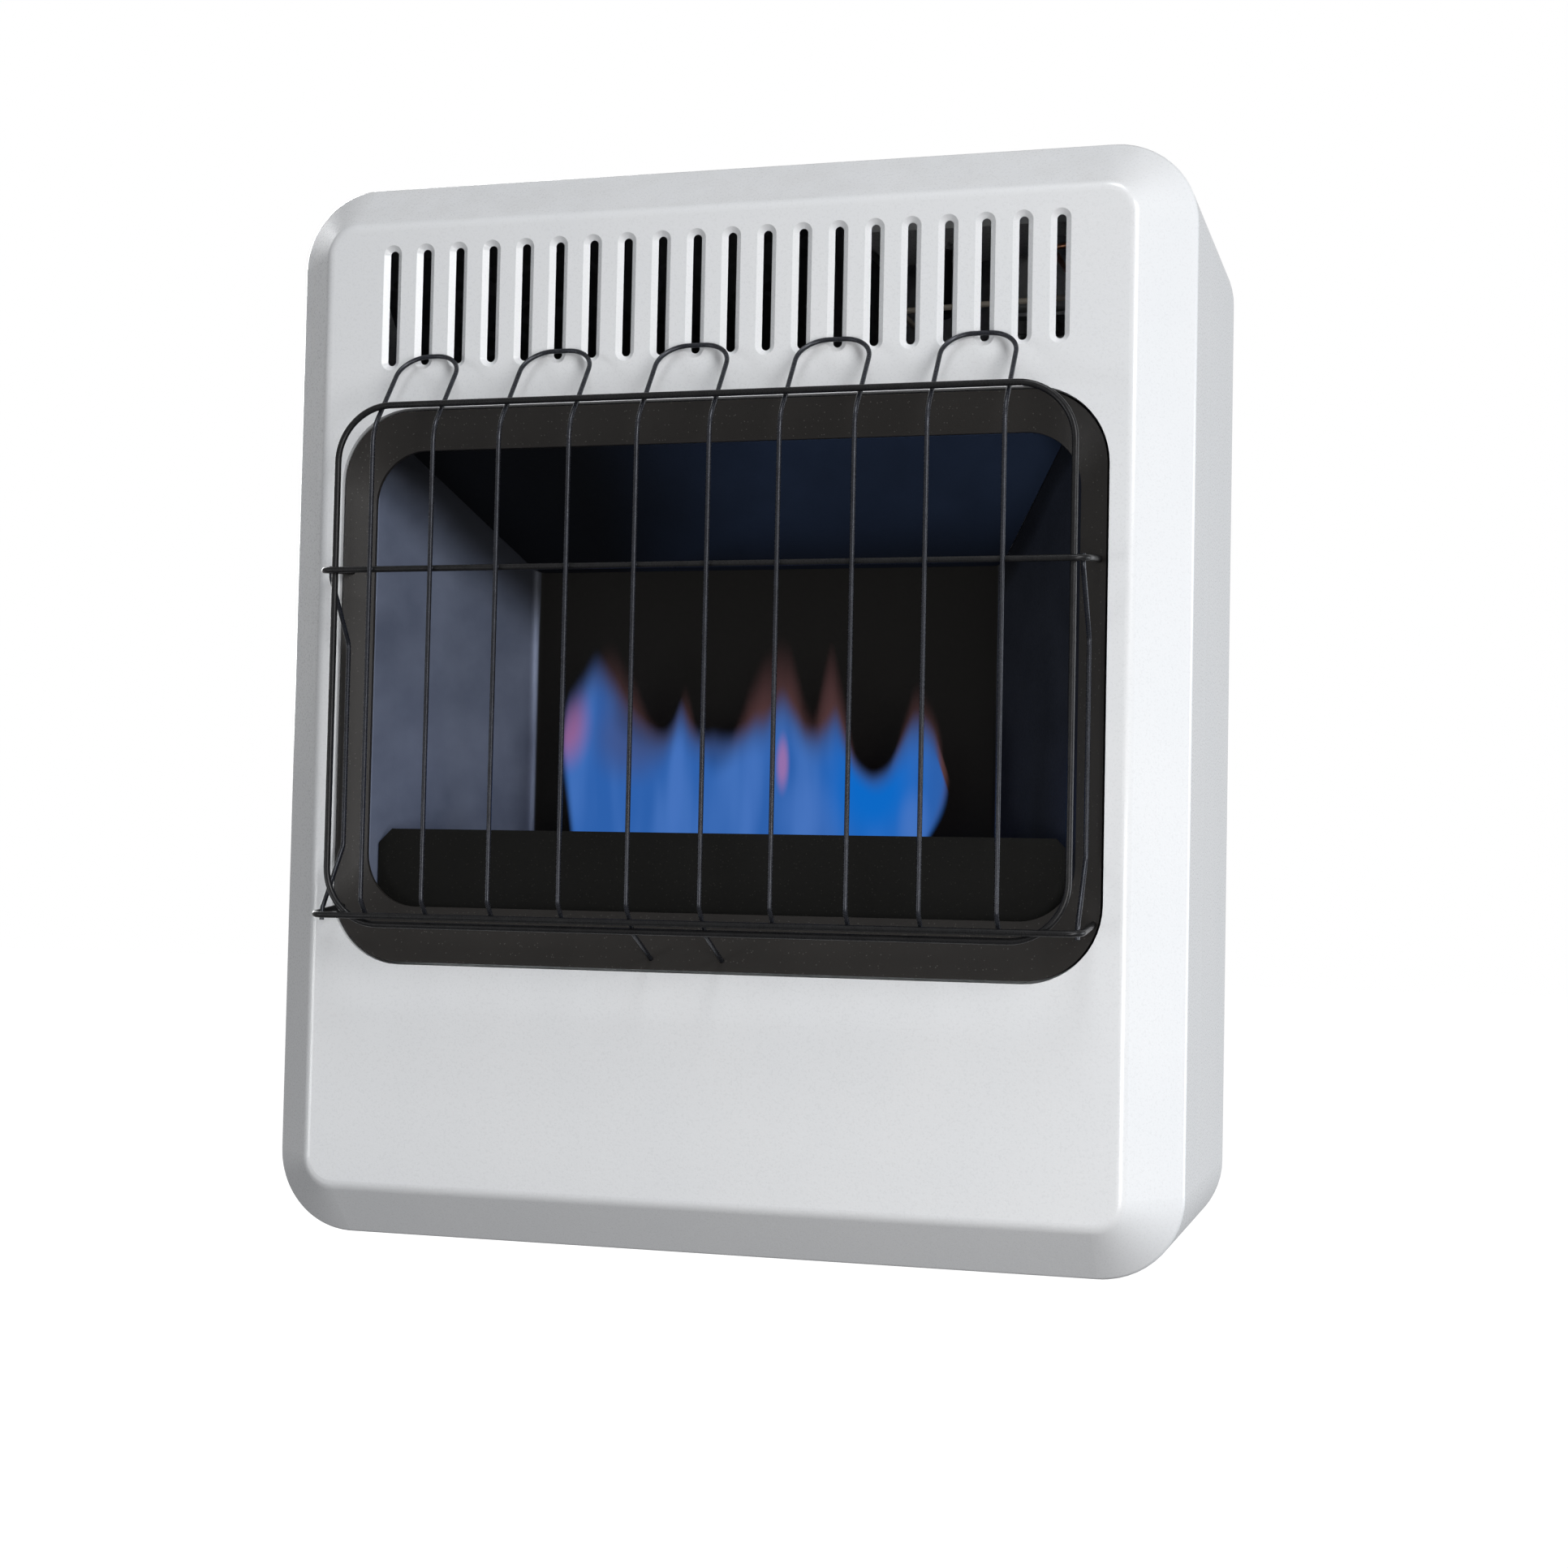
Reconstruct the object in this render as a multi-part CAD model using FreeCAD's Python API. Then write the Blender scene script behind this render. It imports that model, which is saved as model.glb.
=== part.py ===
# Ventless gas heater for a wall, in millimetres.
# +X is the heater's right as seen from the front, the front faces -Y, and +Z is up.
# The origin is the bottom centre of the whole heater.
# The wall is at +wall_y and the guard's front is at -wall_y.

import FreeCAD
import Part
import math
import os

V = FreeCAD.Vector
os.makedirs("parts", exist_ok=True)

# Cabinet: driving sizes
cabinet_w = 520.0
cabinet_h = 603.0
cabinet_corner_r = 45.0
wall_to_panel = 230.0
wall_standoff = 12.0
sheet_t = 1.0
seat_gap = 0.3
weld_gap = 0.15
cut_over = 5.0

# Front panel: a drawn cover with a bevelled rim
bevel_w = 29.0
bevel_deep = 28.0
flange_deep = 65.0
face_bend_r = 8.0
rim_bend_r = 4.0
window_side_w = 41.0
window_low_z = 154.5
window_top_drop = 134.5
window_corner_r = 42.0
window_lip_deep = 8.0

# Slots: one row of coined openings over the window
slot_count = 20
slot_end_room = 68.575
slot_w = 4.9
slot_l = 65.8
slot_top_drop = 43.6
coin_w = 3.0
coin_deep = 2.6

# Window bezel: a pressed frame inside the panel's window
bezel_gap = 1.4
bezel_side_w = 15.0
bezel_top_w = 21.0
bezel_low_w = 31.0
bezel_inner_r = 30.0
bezel_front_set = 1.5
bezel_dish_deep = 9.0
bezel_back_set = 13.0

# Rear casing and the panel at its back
joggle_deep = 13.0
back_flange_w = 14.0
casing_louvre_count = 11
casing_louvre_l = 30.0
casing_louvre_w = 5.0
casing_louvre_pitch = 36.0
casing_louvre_set = 40.0
back_louvre_rows = 3
back_louvre_count = 7
back_louvre_l = 40.0
back_louvre_w = 5.0
back_louvre_pitch = 56.0
back_louvre_row_pitch = 16.0
back_louvre_low_z = 60.0

# Firebox: splayed sides and a flat back, bent from one sheet
firebox_mouth_in = 15.0
firebox_splay = 61.0
firebox_back_set = 110.0
firebox_flange_w = 9.0
firebox_bend_r = 9.0
firebox_top_drop = 16.5
ceiling_front_set = 32.0
ceiling_lip_drop = 3.0
ceiling_fall = 62.0
shelf_rise = 15.5
shelf_flange_h = 15.0
shelf_front_set = 15.0
shelf_wide_set = 34.0
shield_h = 61.0
shield_side_gap = 5.0
shield_set = 18.0
shield_foot = 10.0
shield_corner_cut = 8.0
shield_low_corner_r = 24.0

# Burner
burner_set = 64.0
burner_rise = 36.0
burner_r = 15.0
burner_end_gap = 15.0
burner_wall = 1.2
mixer_r = 10.0
bell_r = 15.0
bell_l = 12.0
port_count = 24
port_end_room = 16.0
port_w = 2.4
port_l = 12.0
saddle_w = 16.0
saddle_half_share = 0.78
saddle_inset = 34.0
orifice_hex = 14.0
orifice_l = 22.0
orifice_tip_r = 3.5
orifice_tip_l = 6.0
orifice_hole_r = 0.9
bell_to_orifice = 3.0
orifice_side_gap = 57.0

# Controls on the top right of the casing
control_side_gap = 130.0
control_back_gap = 66.0
tray_w = 156.0
tray_d = 78.0
tray_deep = 14.0
tray_corner_r = 10.0
tray_rim_w = 7.0
knob_from_middle = 34.0
knob_r = 21.0
knob_h = 20.0
knob_travel = 4.0
knob_floor_gap = 5.5
knob_flutes = 12
knob_flute_r = 2.6
knob_wall = 2.4
grip_w = 8.0
grip_h = 7.0
grip_round_share = 0.45
stem_r = 4.0
stem_flat = 1.2
stem_fit = 0.05
stem_hole_gap = 0.9
collar_r = 7.0
collar_h = 5.0
bonnet_wall = 3.6
bonnet_h = 13.0
bonnet_floor = 1.5
igniter_from_middle = 38.0
igniter_r = 8.0
igniter_l = 46.0
igniter_bezel_r = 11.5
igniter_bezel_h = 2.6
igniter_nut_r = 11.0
igniter_nut_h = 4.0
button_r = 5.6
button_h = 9.0
button_travel = 6.0
button_fit = 0.1

# Gas valve and its shelf
valve_w = 66.0
valve_d = 42.0
valve_h = 34.0
valve_edge_r = 5.0
port_boss_r = 8.0
port_boss_h = 9.0
small_boss_r = 5.5
small_boss_h = 7.0
valve_inlet_share = 0.30
valve_outlet_share = -0.34
valve_pilot_share = -0.06
bracket_t = 2.0
valve_screw_r = 2.5
valve_screw_l = 12.0
valve_screw_head_r = 4.5
valve_screw_head_h = 2.4

# Pipes
supply_r = 5.0
burner_line_r = 4.0
pilot_line_r = 2.2
lead_r = 1.6
capillary_r = 1.1
pipe_bend_r = 16.0
lead_bend_r = 9.0
side_lane_gap = 33.0
side_line_gap = 3.0

# Regulator and gas inlet
regulator_side_gap = 46.0
regulator_back_gap = 53.0
regulator_r = 21.0
regulator_low_z = 66.0
regulator_h = 30.0
regulator_neck_r = 9.0
regulator_neck_h = 12.0
inlet_hex = 27.0
inlet_l = 34.0
inlet_bore_r = 7.6
inlet_bore_l = 16.0
inlet_way_r = 4.0
inlet_hole_gap = 4.0

# Oxygen sensing pilot
pilot_from_corner = 31.0
pilot_set = 36.0
pilot_bracket_edge = 2.0
pilot_plate_rise = 36.0
pilot_r = 5.0
pilot_h = 22.0
pilot_hood_r = 8.0
pilot_hood_h = 7.0
pilot_spacing = 12.0
electrode_r = 3.0
electrode_h = 18.0
electrode_tip_r = 1.0
electrode_tip_h = 9.0
probe_r = 2.6
probe_h = 26.0

# Shields and brackets inside
heat_shield_gap = 12.0
heat_shield_overlap = 47.0
heat_shield_rise = 20.0
heat_shield_top_drop = 22.0
deflector_drop = 141.0
deflector_back_flange = 24.0
deflector_front_set = 100.0
deflector_front_flange = 20.0
control_shield_drop = 103.0
control_shield_front_set = 46.0
firebox_bracket_in = 47.0
firebox_bracket_w = 30.0
firebox_bracket_rise = 10.0
firebox_bracket_top_gap = 15.0

# Thermostat bulb
bulb_r = 4.0
bulb_l = 74.0
bulb_side_gap = 164.0
bulb_z = 132.0
bulb_clip_w = 9.0
bulb_clip_t = 1.2
bulb_clip_shares = (0.12, 0.76)

# Wall bracket, spacers and screws
wall_bracket_w = 300.0
wall_bracket_h = 62.0
wall_bracket_drop = 103.0
hook_w = 30.0
hook_inset = 50.0
hook_up = 14.0
hook_rise = 36.0
hook_clear = 2.0
hook_slot_h = 22.0
wall_hole_r = 3.25
wall_hole_inset = 30.0
wall_hole_edge = 16.0
spacer_r = 9.0
spacer_side_gap = 55.0
spacer_z = 44.0
screw_r = 2.0
screw_head_r = 4.0
screw_head_h = 2.2
screw_l = 7.0
cover_screw_side_gap = 55.0

# Guard of round wire, held in the bezel by its bent ends
guard_frame_in = 12.85
guard_frame_rise = 22.7
guard_frame_drop = 4.5
guard_frame_corner_r = 31.0
guard_frame_set = 32.0
frame_rod_r = 1.8
bar_rod_r = 1.7
wire_rod_r = 1.3
mid_bar_drop = 91.5
low_bar_rise = 4.8
bar_bend_r = 7.5
bar_end_in = 3.5
bar_end_rise = 5.0
hairpin_count = 5
hairpin_w = 40.6
hairpin_end_room = 16.3
hairpin_shift = -8.0
first_leg_in = 4.6
hairpin_lean_deg = 38.0
hairpin_frame_gap = 0.5
hairpin_lean_r = 24.0
hairpin_corner_r = 16.0
leg_low_lean_deg = 40.0
foot_lean_deg = 65.0
foot_bend_r = 6.0
side_wire_in = 4.0
side_wire_bow = 24.0
side_wire_bow_h = 38.0
side_wire_bend_r = 10.0

# Places worked out from the sizes above
guard_bar_set = guard_frame_set + frame_rod_r + bar_rod_r + weld_gap
guard_wire_set = guard_bar_set + bar_rod_r + wire_rod_r + weld_gap
guard_reach = guard_wire_set + wire_rod_r
overall_d = wall_to_panel + guard_reach
wall_y = overall_d / 2
panel_y = wall_y - wall_to_panel
casing_back_set = wall_to_panel - wall_standoff
flange_end_set = bevel_deep + flange_deep
half_w = cabinet_w / 2
window_w = cabinet_w - 2 * window_side_w
window_high_z = cabinet_h - window_top_drop
half_window = window_w / 2
back_panel_set = casing_back_set - 2 * sheet_t
slot_pitch = (cabinet_w - 2 * slot_end_room) / (slot_count - 1)
slot_high_z = cabinet_h - slot_top_drop
slot_low_z = slot_high_z - slot_l
firebox_mouth_w = window_w - 2 * firebox_mouth_in
firebox_back_w = firebox_mouth_w - 2 * firebox_splay
firebox_top_z = window_high_z - firebox_top_drop
ceiling_front_z = firebox_top_z - ceiling_lip_drop
ceiling_back_z = ceiling_front_z - ceiling_fall
shelf_top_z = window_low_z + shelf_rise
shield_top_z = shelf_top_z + shield_h
shield_w = firebox_mouth_w - 2 * shield_side_gap
control_x = half_w - control_side_gap
control_set = casing_back_set - control_back_gap
knob_x = control_x + knob_from_middle
igniter_x = control_x - igniter_from_middle
tray_floor_z = cabinet_h - 2 * sheet_t - tray_deep
knob_low_z = tray_floor_z + knob_floor_gap
bonnet_top_z = tray_floor_z - sheet_t - seat_gap
valve_top_z = bonnet_top_z - bonnet_h
valve_low_z = valve_top_z - valve_h
burner_l = firebox_back_w - 2 * burner_end_gap
burner_z = shelf_top_z + burner_rise
burner_right_x = burner_l / 2
orifice_x = half_w - orifice_side_gap
bell_x = orifice_x - bell_to_orifice
mixer_l = bell_x - bell_l - burner_right_x
port_pitch = (burner_l - port_end_room) / port_count
pilot_x = firebox_back_w / 2 - pilot_from_corner
pilot_plate_z = shelf_top_z + pilot_plate_rise
side_lane_x = half_w - side_lane_gap
regulator_x = half_w - regulator_side_gap
pilot_bracket_w = 2 * (pilot_spacing + electrode_r + pilot_bracket_edge)
regulator_set = casing_back_set - regulator_back_gap
heat_shield_set = back_panel_set - heat_shield_gap
heat_shield_w = firebox_back_w + 2 * heat_shield_overlap
heat_shield_low_z = shelf_top_z + heat_shield_rise
heat_shield_high_z = firebox_top_z - heat_shield_top_drop
deflector_back_low_z = cabinet_h - deflector_drop
deflector_back_high_z = deflector_back_low_z + deflector_back_flange
control_shield_z = cabinet_h - control_shield_drop
firebox_bracket_x = firebox_back_w / 2 - firebox_bracket_in
firebox_bracket_low_z = shelf_top_z + firebox_bracket_rise
firebox_bracket_high_z = ceiling_back_z - firebox_bracket_top_gap
bulb_x = half_w - bulb_side_gap
wall_bracket_low_z = cabinet_h - wall_bracket_drop
hook_z = wall_bracket_low_z + hook_rise
hook_spacing = wall_bracket_w - 2 * hook_inset
wall_hole_spacing_x = wall_bracket_w - 2 * wall_hole_inset
wall_hole_spacing_z = wall_bracket_h - 2 * wall_hole_edge
spacer_x = half_w - spacer_side_gap
cover_screw_x = half_w - cover_screw_side_gap
guard_frame_w = window_w - 2 * guard_frame_in
guard_frame_low_z = window_low_z + guard_frame_rise
guard_frame_high_z = window_high_z - guard_frame_drop
mid_bar_z = guard_frame_high_z - mid_bar_drop
low_bar_z = guard_frame_low_z + low_bar_rise
hairpin_pitch = (guard_frame_w - hairpin_end_room) / hairpin_count


def deep(distance):
    """The y of a place this far behind the front panel's face."""
    return panel_y + distance


def point(x, distance, z):
    """A point from its x, its distance behind the panel's face and its z."""
    return V(x, deep(distance), z)


def box(x_low, x_high, near, far, z_low, z_high):
    """A block between two x, two distances behind the panel's face and two z."""
    return Part.makeBox(x_high - x_low, far - near, z_high - z_low, point(x_low, near, z_low))


def upright(radius, length, x, distance, z_low):
    """A cylinder that stands on z_low."""
    return Part.makeCylinder(radius, length, point(x, distance, z_low), V(0, 0, 1))


def across(radius, length, x_low, distance, z):
    """A cylinder that lies along +X from x_low."""
    return Part.makeCylinder(radius, length, point(x_low, distance, z), V(1, 0, 0))


def backward(radius, length, x, near, z):
    """A cylinder that lies along +Y from the distance near."""
    return Part.makeCylinder(radius, length, point(x, near, z), V(0, 1, 0))


def hexagon(flats, length, base, direction):
    """A hexagonal bar of the given size across its flats."""
    corner = flats / (2 * math.cos(math.radians(30)))
    turns = [math.radians(60 * step) for step in range(7)]
    wire = Part.makePolygon([V(corner * math.cos(a), corner * math.sin(a), 0) for a in turns])
    bar = Part.Face(wire).extrude(V(0, 0, length))
    bar.Placement = FreeCAD.Placement(base, FreeCAD.Rotation(V(0, 0, 1), direction))
    return bar


def rounded_outline(width, low_z, high_z, radius, distance, centre_x=0):
    """A rectangle with round corners, upright at one distance behind the panel's face."""
    left = centre_x - width / 2
    right = centre_x + width / 2
    leg = radius * (1 - math.cos(math.radians(45)))
    edges = []

    def line(x1, z1, x2, z2):
        edges.append(Part.LineSegment(point(x1, distance, z1), point(x2, distance, z2)).toShape())

    def corner(x1, z1, x2, z2, x3, z3):
        places = [point(x1, distance, z1), point(x2, distance, z2), point(x3, distance, z3)]
        edges.append(Part.Arc(*places).toShape())

    line(left + radius, low_z, right - radius, low_z)
    corner(right - radius, low_z, right - leg, low_z + leg, right, low_z + radius)
    line(right, low_z + radius, right, high_z - radius)
    corner(right, high_z - radius, right - leg, high_z - leg, right - radius, high_z)
    line(right - radius, high_z, left + radius, high_z)
    corner(left + radius, high_z, left + leg, high_z - leg, left, high_z - radius)
    line(left, high_z - radius, left, low_z + radius)
    corner(left, low_z + radius, left + leg, low_z + leg, left + radius, low_z)
    return Part.Wire(edges)


def slot_outline(x, low_z, high_z, width, distance):
    """An upright slot with round ends."""
    r = width / 2
    a = point(x + r, distance, low_z + r)
    b = point(x + r, distance, high_z - r)
    c = point(x - r, distance, high_z - r)
    d = point(x - r, distance, low_z + r)
    top = Part.Arc(b, point(x, distance, high_z), c).toShape()
    low = Part.Arc(d, point(x, distance, low_z), a).toShape()
    sides = [Part.LineSegment(a, b).toShape(), Part.LineSegment(c, d).toShape()]
    return Part.Wire([sides[0], top, sides[1], low])


def slab(wire, near, far):
    """A solid from a closed outline drawn at the distance near, to the distance far."""
    return Part.Face(wire).extrude(V(0, far - near, 0))


def rounded_block(width, low_z, high_z, radius, near, far, centre_x=0):
    """A block along Y with round corners."""
    return slab(rounded_outline(width, low_z, high_z, radius, near, centre_x), near, far)


def loft(near_wire, far_wire):
    """A solid between two like outlines."""
    return Part.makeLoft([near_wire, far_wire], True, True)


def path_wire(places, bends):
    """Straight runs through the places, joined by tangent arcs of the given radii."""
    edges = []
    start = places[0]
    for step in range(1, len(places) - 1):
        here = places[step]
        back_dir = (places[step - 1] - here).normalize()
        next_dir = (places[step + 1] - here).normalize()
        half = back_dir.getAngle(next_dir) / 2
        radius = bends[step - 1]
        reach = radius / math.tan(half)
        inward = (back_dir + next_dir).normalize()
        first = here + back_dir * reach
        last = here + next_dir * reach
        middle = here + inward * (radius / math.sin(half) - radius)
        edges.append(Part.LineSegment(start, first).toShape())
        edges.append(Part.Arc(first, middle, last).toShape())
        start = last
    edges.append(Part.LineSegment(start, places[-1]).toShape())
    return Part.Wire(edges)


def rod(places, rod_r, bends):
    """A round wire or pipe through the places, with one bend radius or one for each bend."""
    if not isinstance(bends, list):
        bends = [bends] * (len(places) - 2)
    spine = path_wire(places, bends)
    circle = Part.Circle(places[0], places[1] - places[0], rod_r).toShape()
    return spine.makePipeShell([Part.Wire([circle])], True, False)


def edges_at(shape, distance):
    """The edges that lie at one distance behind the panel's face."""
    y = deep(distance)
    near = sheet_t / 50
    return [e for e in shape.Edges if abs(e.BoundBox.YMin - y) < near and abs(e.BoundBox.YMax - y) < near]


def write(name, shape):
    """Writes one node."""
    shape.exportStep("parts/" + name + ".step")


def cover_form(inset):
    """The front cover's outer form, or its inner form at a wall's thickness inside it."""
    bevel_turn = math.atan2(bevel_deep, bevel_w)
    shift = inset * math.tan((math.pi / 2 - bevel_turn) / 2)
    narrow = inset * math.tan(bevel_turn / 2)
    side = inset
    bend_set = bevel_deep + shift
    inner_w = bevel_w + narrow
    end_set = flange_end_set + (cut_over if inset else 0)
    rim = rounded_outline(cabinet_w - 2 * side, side, cabinet_h - side, cabinet_corner_r - side, bend_set)
    face_r = cabinet_corner_r - bevel_w
    face = rounded_outline(cabinet_w - 2 * inner_w, inner_w, cabinet_h - inner_w, face_r, inset)
    form = loft(face, rim).fuse(slab(rim, bend_set, end_set)).removeSplitter()
    form = form.makeFillet(face_bend_r - inset, edges_at(form, inset))
    return form.makeFillet(rim_bend_r - inset, edges_at(form, bend_set))


def slot_places():
    """The x of each slot."""
    return [(step - (slot_count - 1) / 2) * slot_pitch for step in range(slot_count)]


def coined_form(extra, near, far, widest):
    """A slot's coined funnel: wide at the face and narrow behind it."""
    wide = slot_w + 2 * widest + 2 * extra
    narrow = slot_w + 2 * extra
    mouth = slot_outline(0, slot_low_z - widest - extra, slot_high_z + widest + extra, wide, near)
    throat = slot_outline(0, slot_low_z - extra, slot_high_z + extra, narrow, far)
    return loft(mouth, throat)


def front_panel():
    """The drawn cover, its lipped window and its coined slots."""
    panel = cover_form(0).cut(cover_form(sheet_t))
    lip_out = rounded_block(window_w + 2 * sheet_t, window_low_z - sheet_t, window_high_z + sheet_t,
                            window_corner_r + sheet_t, 0, window_lip_deep)
    funnel = coined_form(sheet_t, 0, coin_deep, coin_w)
    panel = panel.fuse([lip_out] + [funnel.translated(V(x, 0, 0)) for x in slot_places()])
    window = rounded_block(window_w, window_low_z, window_high_z, window_corner_r, -cut_over, flange_deep)
    mouth = coined_form(0, 0, coin_deep, coin_w)
    throat = slab(slot_outline(0, slot_low_z, slot_high_z, slot_w, -cut_over), -cut_over, bevel_deep)
    cuts = [window]
    for x in slot_places():
        cuts.append(mouth.fuse(throat).translated(V(x, 0, 0)))
    for x in (-cover_screw_x, 0, cover_screw_x):
        cuts.append(upright(screw_r + seat_gap, 2 * cut_over, x, cover_screw_set(), cabinet_h - cut_over))
    return panel.cut(cuts)


def cover_screw_set():
    """The screws go through the flange and the casing's joggle."""
    return flange_end_set - joggle_deep / 2


def bezel_limits(side, low, top):
    """Width, low z and high z of an outline this far inside the window."""
    return window_w - 2 * side, window_low_z + low, window_high_z - top


def window_bezel():
    """A pressed frame: outer skirt, sloping band and inner lip."""
    gap = bezel_gap
    side, low, top = gap + bezel_side_w, gap + bezel_low_w, gap + bezel_top_w
    outer_r = window_corner_r - gap
    dish_set = bezel_front_set + bezel_dish_deep

    def band(inset, near, far):
        front = rounded_outline(*bezel_limits(gap + inset, gap + inset, gap + inset), outer_r - inset, near)
        limits = bezel_limits(side - inset, low - inset, top - inset)
        inner = rounded_outline(*limits, bezel_inner_r + inset, far)
        return loft(front, inner)

    skirt = rounded_block(*bezel_limits(gap, gap, gap), outer_r, bezel_front_set, bezel_back_set)
    skirt_in = rounded_block(*bezel_limits(gap + sheet_t, gap + sheet_t, gap + sheet_t), outer_r - sheet_t,
                             bezel_front_set + sheet_t, bezel_back_set + cut_over)
    lip_out = rounded_block(*bezel_limits(side - sheet_t, low - sheet_t, top - sheet_t),
                            bezel_inner_r + sheet_t, dish_set, bezel_back_set)
    limits = bezel_limits(side, low, top)
    opening = rounded_block(*limits, bezel_inner_r, -cut_over, bezel_back_set + cut_over)
    dish = band(0, bezel_front_set, dish_set)
    backing = band(0, bezel_front_set + sheet_t, dish_set + sheet_t)
    frame = skirt.cut(skirt_in).fuse([backing, lip_out]).cut([dish, opening])
    holes = []
    for z in (mid_bar_z, low_bar_z):
        places = guard_bar_places(z)
        holes += [bore(places[1], places[0], bar_rod_r), bore(places[2], places[3], bar_rod_r)]
    for x in hairpin_legs(hairpin_count // 2):
        foot = leg_foot(x)
        holes.append(bore(foot[1], foot[0], wire_rod_r))
    return frame.cut(holes)


def bore(start, end, rod_r):
    """A hole for a wire that runs from start through end."""
    way = end - start
    return Part.makeCylinder(rod_r + weld_gap, way.Length + cut_over, start, way)


def guard_end_x():
    """The guard's bars end in the middle of the bezel's side bands."""
    return half_window - bezel_gap - bezel_side_w / 2 + bar_end_in


def rear_casing():
    """The wrap behind the cover, with a joggled front edge, a back flange and the control cut-out."""
    front = flange_end_set + seat_gap
    main = rounded_block(cabinet_w, 0, cabinet_h, cabinet_corner_r, front, casing_back_set)
    inset = sheet_t + seat_gap
    neck = rounded_block(cabinet_w - 2 * inset, inset, cabinet_h - inset, cabinet_corner_r - inset,
                         front - joggle_deep, front + sheet_t)
    hollow = rounded_block(cabinet_w - 2 * sheet_t, sheet_t, cabinet_h - sheet_t, cabinet_corner_r - sheet_t,
                           front + sheet_t, casing_back_set - sheet_t)
    inset = 2 * sheet_t + seat_gap
    throat = rounded_block(cabinet_w - 2 * inset, inset, cabinet_h - inset, cabinet_corner_r - inset,
                           front - joggle_deep - cut_over, front + 2 * sheet_t)
    rear = rounded_block(cabinet_w - 2 * back_flange_w, back_flange_w, cabinet_h - back_flange_w,
                         cabinet_corner_r - back_flange_w, front, casing_back_set + cut_over)
    casing = main.fuse(neck).cut([hollow, throat, rear])
    cuts = [tray_block(tray_w, tray_d, tray_corner_r, cabinet_h - cut_over, 2 * cut_over)]
    for x in (-cover_screw_x, 0, cover_screw_x):
        cuts.append(upright(screw_r, 2 * cut_over, x, cover_screw_set(), cabinet_h - cut_over))
    for row in range(2):
        near = flange_end_set + casing_louvre_set + row * casing_louvre_set
        for step in range(casing_louvre_count):
            x = (step - (casing_louvre_count - 1) / 2) * casing_louvre_pitch
            clear_of_inlet = abs(x - regulator_x) > inlet_hex + casing_louvre_l / 2
            if clear_of_inlet:
                half = casing_louvre_l / 2
                cuts.append(box(x - half, x + half, near, near + casing_louvre_w, -cut_over, cut_over))
    half = inlet_hex / 2 + inlet_hole_gap
    cuts.append(box(regulator_x - half, regulator_x + half, regulator_set - half, regulator_set + half,
                    -cut_over, cut_over))
    for x, z in back_screw_places():
        cuts.append(backward(screw_r, 2 * cut_over, x, casing_back_set - cut_over, z))
    return casing.cut(cuts)


def tray_block(width, depth, radius, z_low, height):
    """A flat block with round corners round the controls' centre, seen from above."""
    block = Part.makeBox(width, depth, height, point(control_x - width / 2, control_set - depth / 2, z_low))
    corners = [e for e in block.Edges if e.BoundBox.ZLength > height / 2]
    return block.makeFillet(radius, corners)


def back_panel():
    """The sheet that closes the casing, with intake louvres, hook slots and screw holes."""
    inset = sheet_t + seat_gap
    panel = rounded_block(cabinet_w - 2 * inset, inset, cabinet_h - inset, cabinet_corner_r - inset,
                          back_panel_set, back_panel_set + sheet_t)
    cuts = []
    for row in range(back_louvre_rows):
        low = back_louvre_low_z + row * back_louvre_row_pitch
        for step in range(back_louvre_count):
            x = (step - (back_louvre_count - 1) / 2) * back_louvre_pitch
            cuts.append(box(x - back_louvre_l / 2, x + back_louvre_l / 2, back_panel_set - cut_over,
                            back_panel_set + cut_over, low, low + back_louvre_w))
    for hand in (-1, 1):
        x = hand * hook_spacing / 2
        high = hook_z + bracket_t + seat_gap
        low = high - hook_slot_h
        half = hook_w / 2 + hook_clear
        cuts.append(box(x - half, x + half, back_panel_set - cut_over, back_panel_set + cut_over, low, high))
    for x, z in back_screw_places():
        cuts.append(backward(screw_r, 2 * cut_over, x, back_panel_set - cut_over, z))
    return panel.cut(cuts)


def back_screw_places():
    """Screws near the corners and the middle of each side."""
    edge = back_flange_w / 2 + sheet_t
    x_far = half_w - edge
    x_mid = half_w / 2
    z_low = edge
    z_high = cabinet_h - edge
    z_mid = cabinet_h / 2
    z_rise = cabinet_h / 4
    sides = [(hand * x_far, z) for hand in (-1, 1) for z in (z_mid - z_rise, z_mid, z_mid + z_rise)]
    ends = [(hand * x_mid, z) for hand in (-1, 1) for z in (z_low, z_high)]
    return sides + ends


def pan_screw(base, direction, shank_r, shank_l, head_r, head_h):
    """A screw whose head's underside is at base and whose shank points along direction."""
    shank = Part.makeCylinder(shank_r, shank_l, base, direction)
    brim = Part.makeCylinder(head_r, head_h / 2, base - direction * (head_h / 2), direction)
    crown = Part.makeCone(head_r - head_h / 2, head_r, head_h / 2, base - direction * head_h, direction)
    return shank.fuse([brim, crown]).removeSplitter()


def back_panel_screws():
    """Screws from outside, through the casing's flange into the back panel."""
    screws = []
    for x, z in back_screw_places():
        base = point(x, casing_back_set, z)
        screws.append(pan_screw(base, V(0, -1, 0), screw_r - weld_gap, screw_l, screw_head_r, screw_head_h))
    return Part.makeCompound(screws)


def cover_screws():
    """Screws down through the cover's top flange."""
    screws = []
    for x in (-cover_screw_x, 0, cover_screw_x):
        base = point(x, cover_screw_set(), cabinet_h)
        screws.append(pan_screw(base, V(0, 0, -1), screw_r - weld_gap, screw_l, screw_head_r, screw_head_h))
    return Part.makeCompound(screws)


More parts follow.
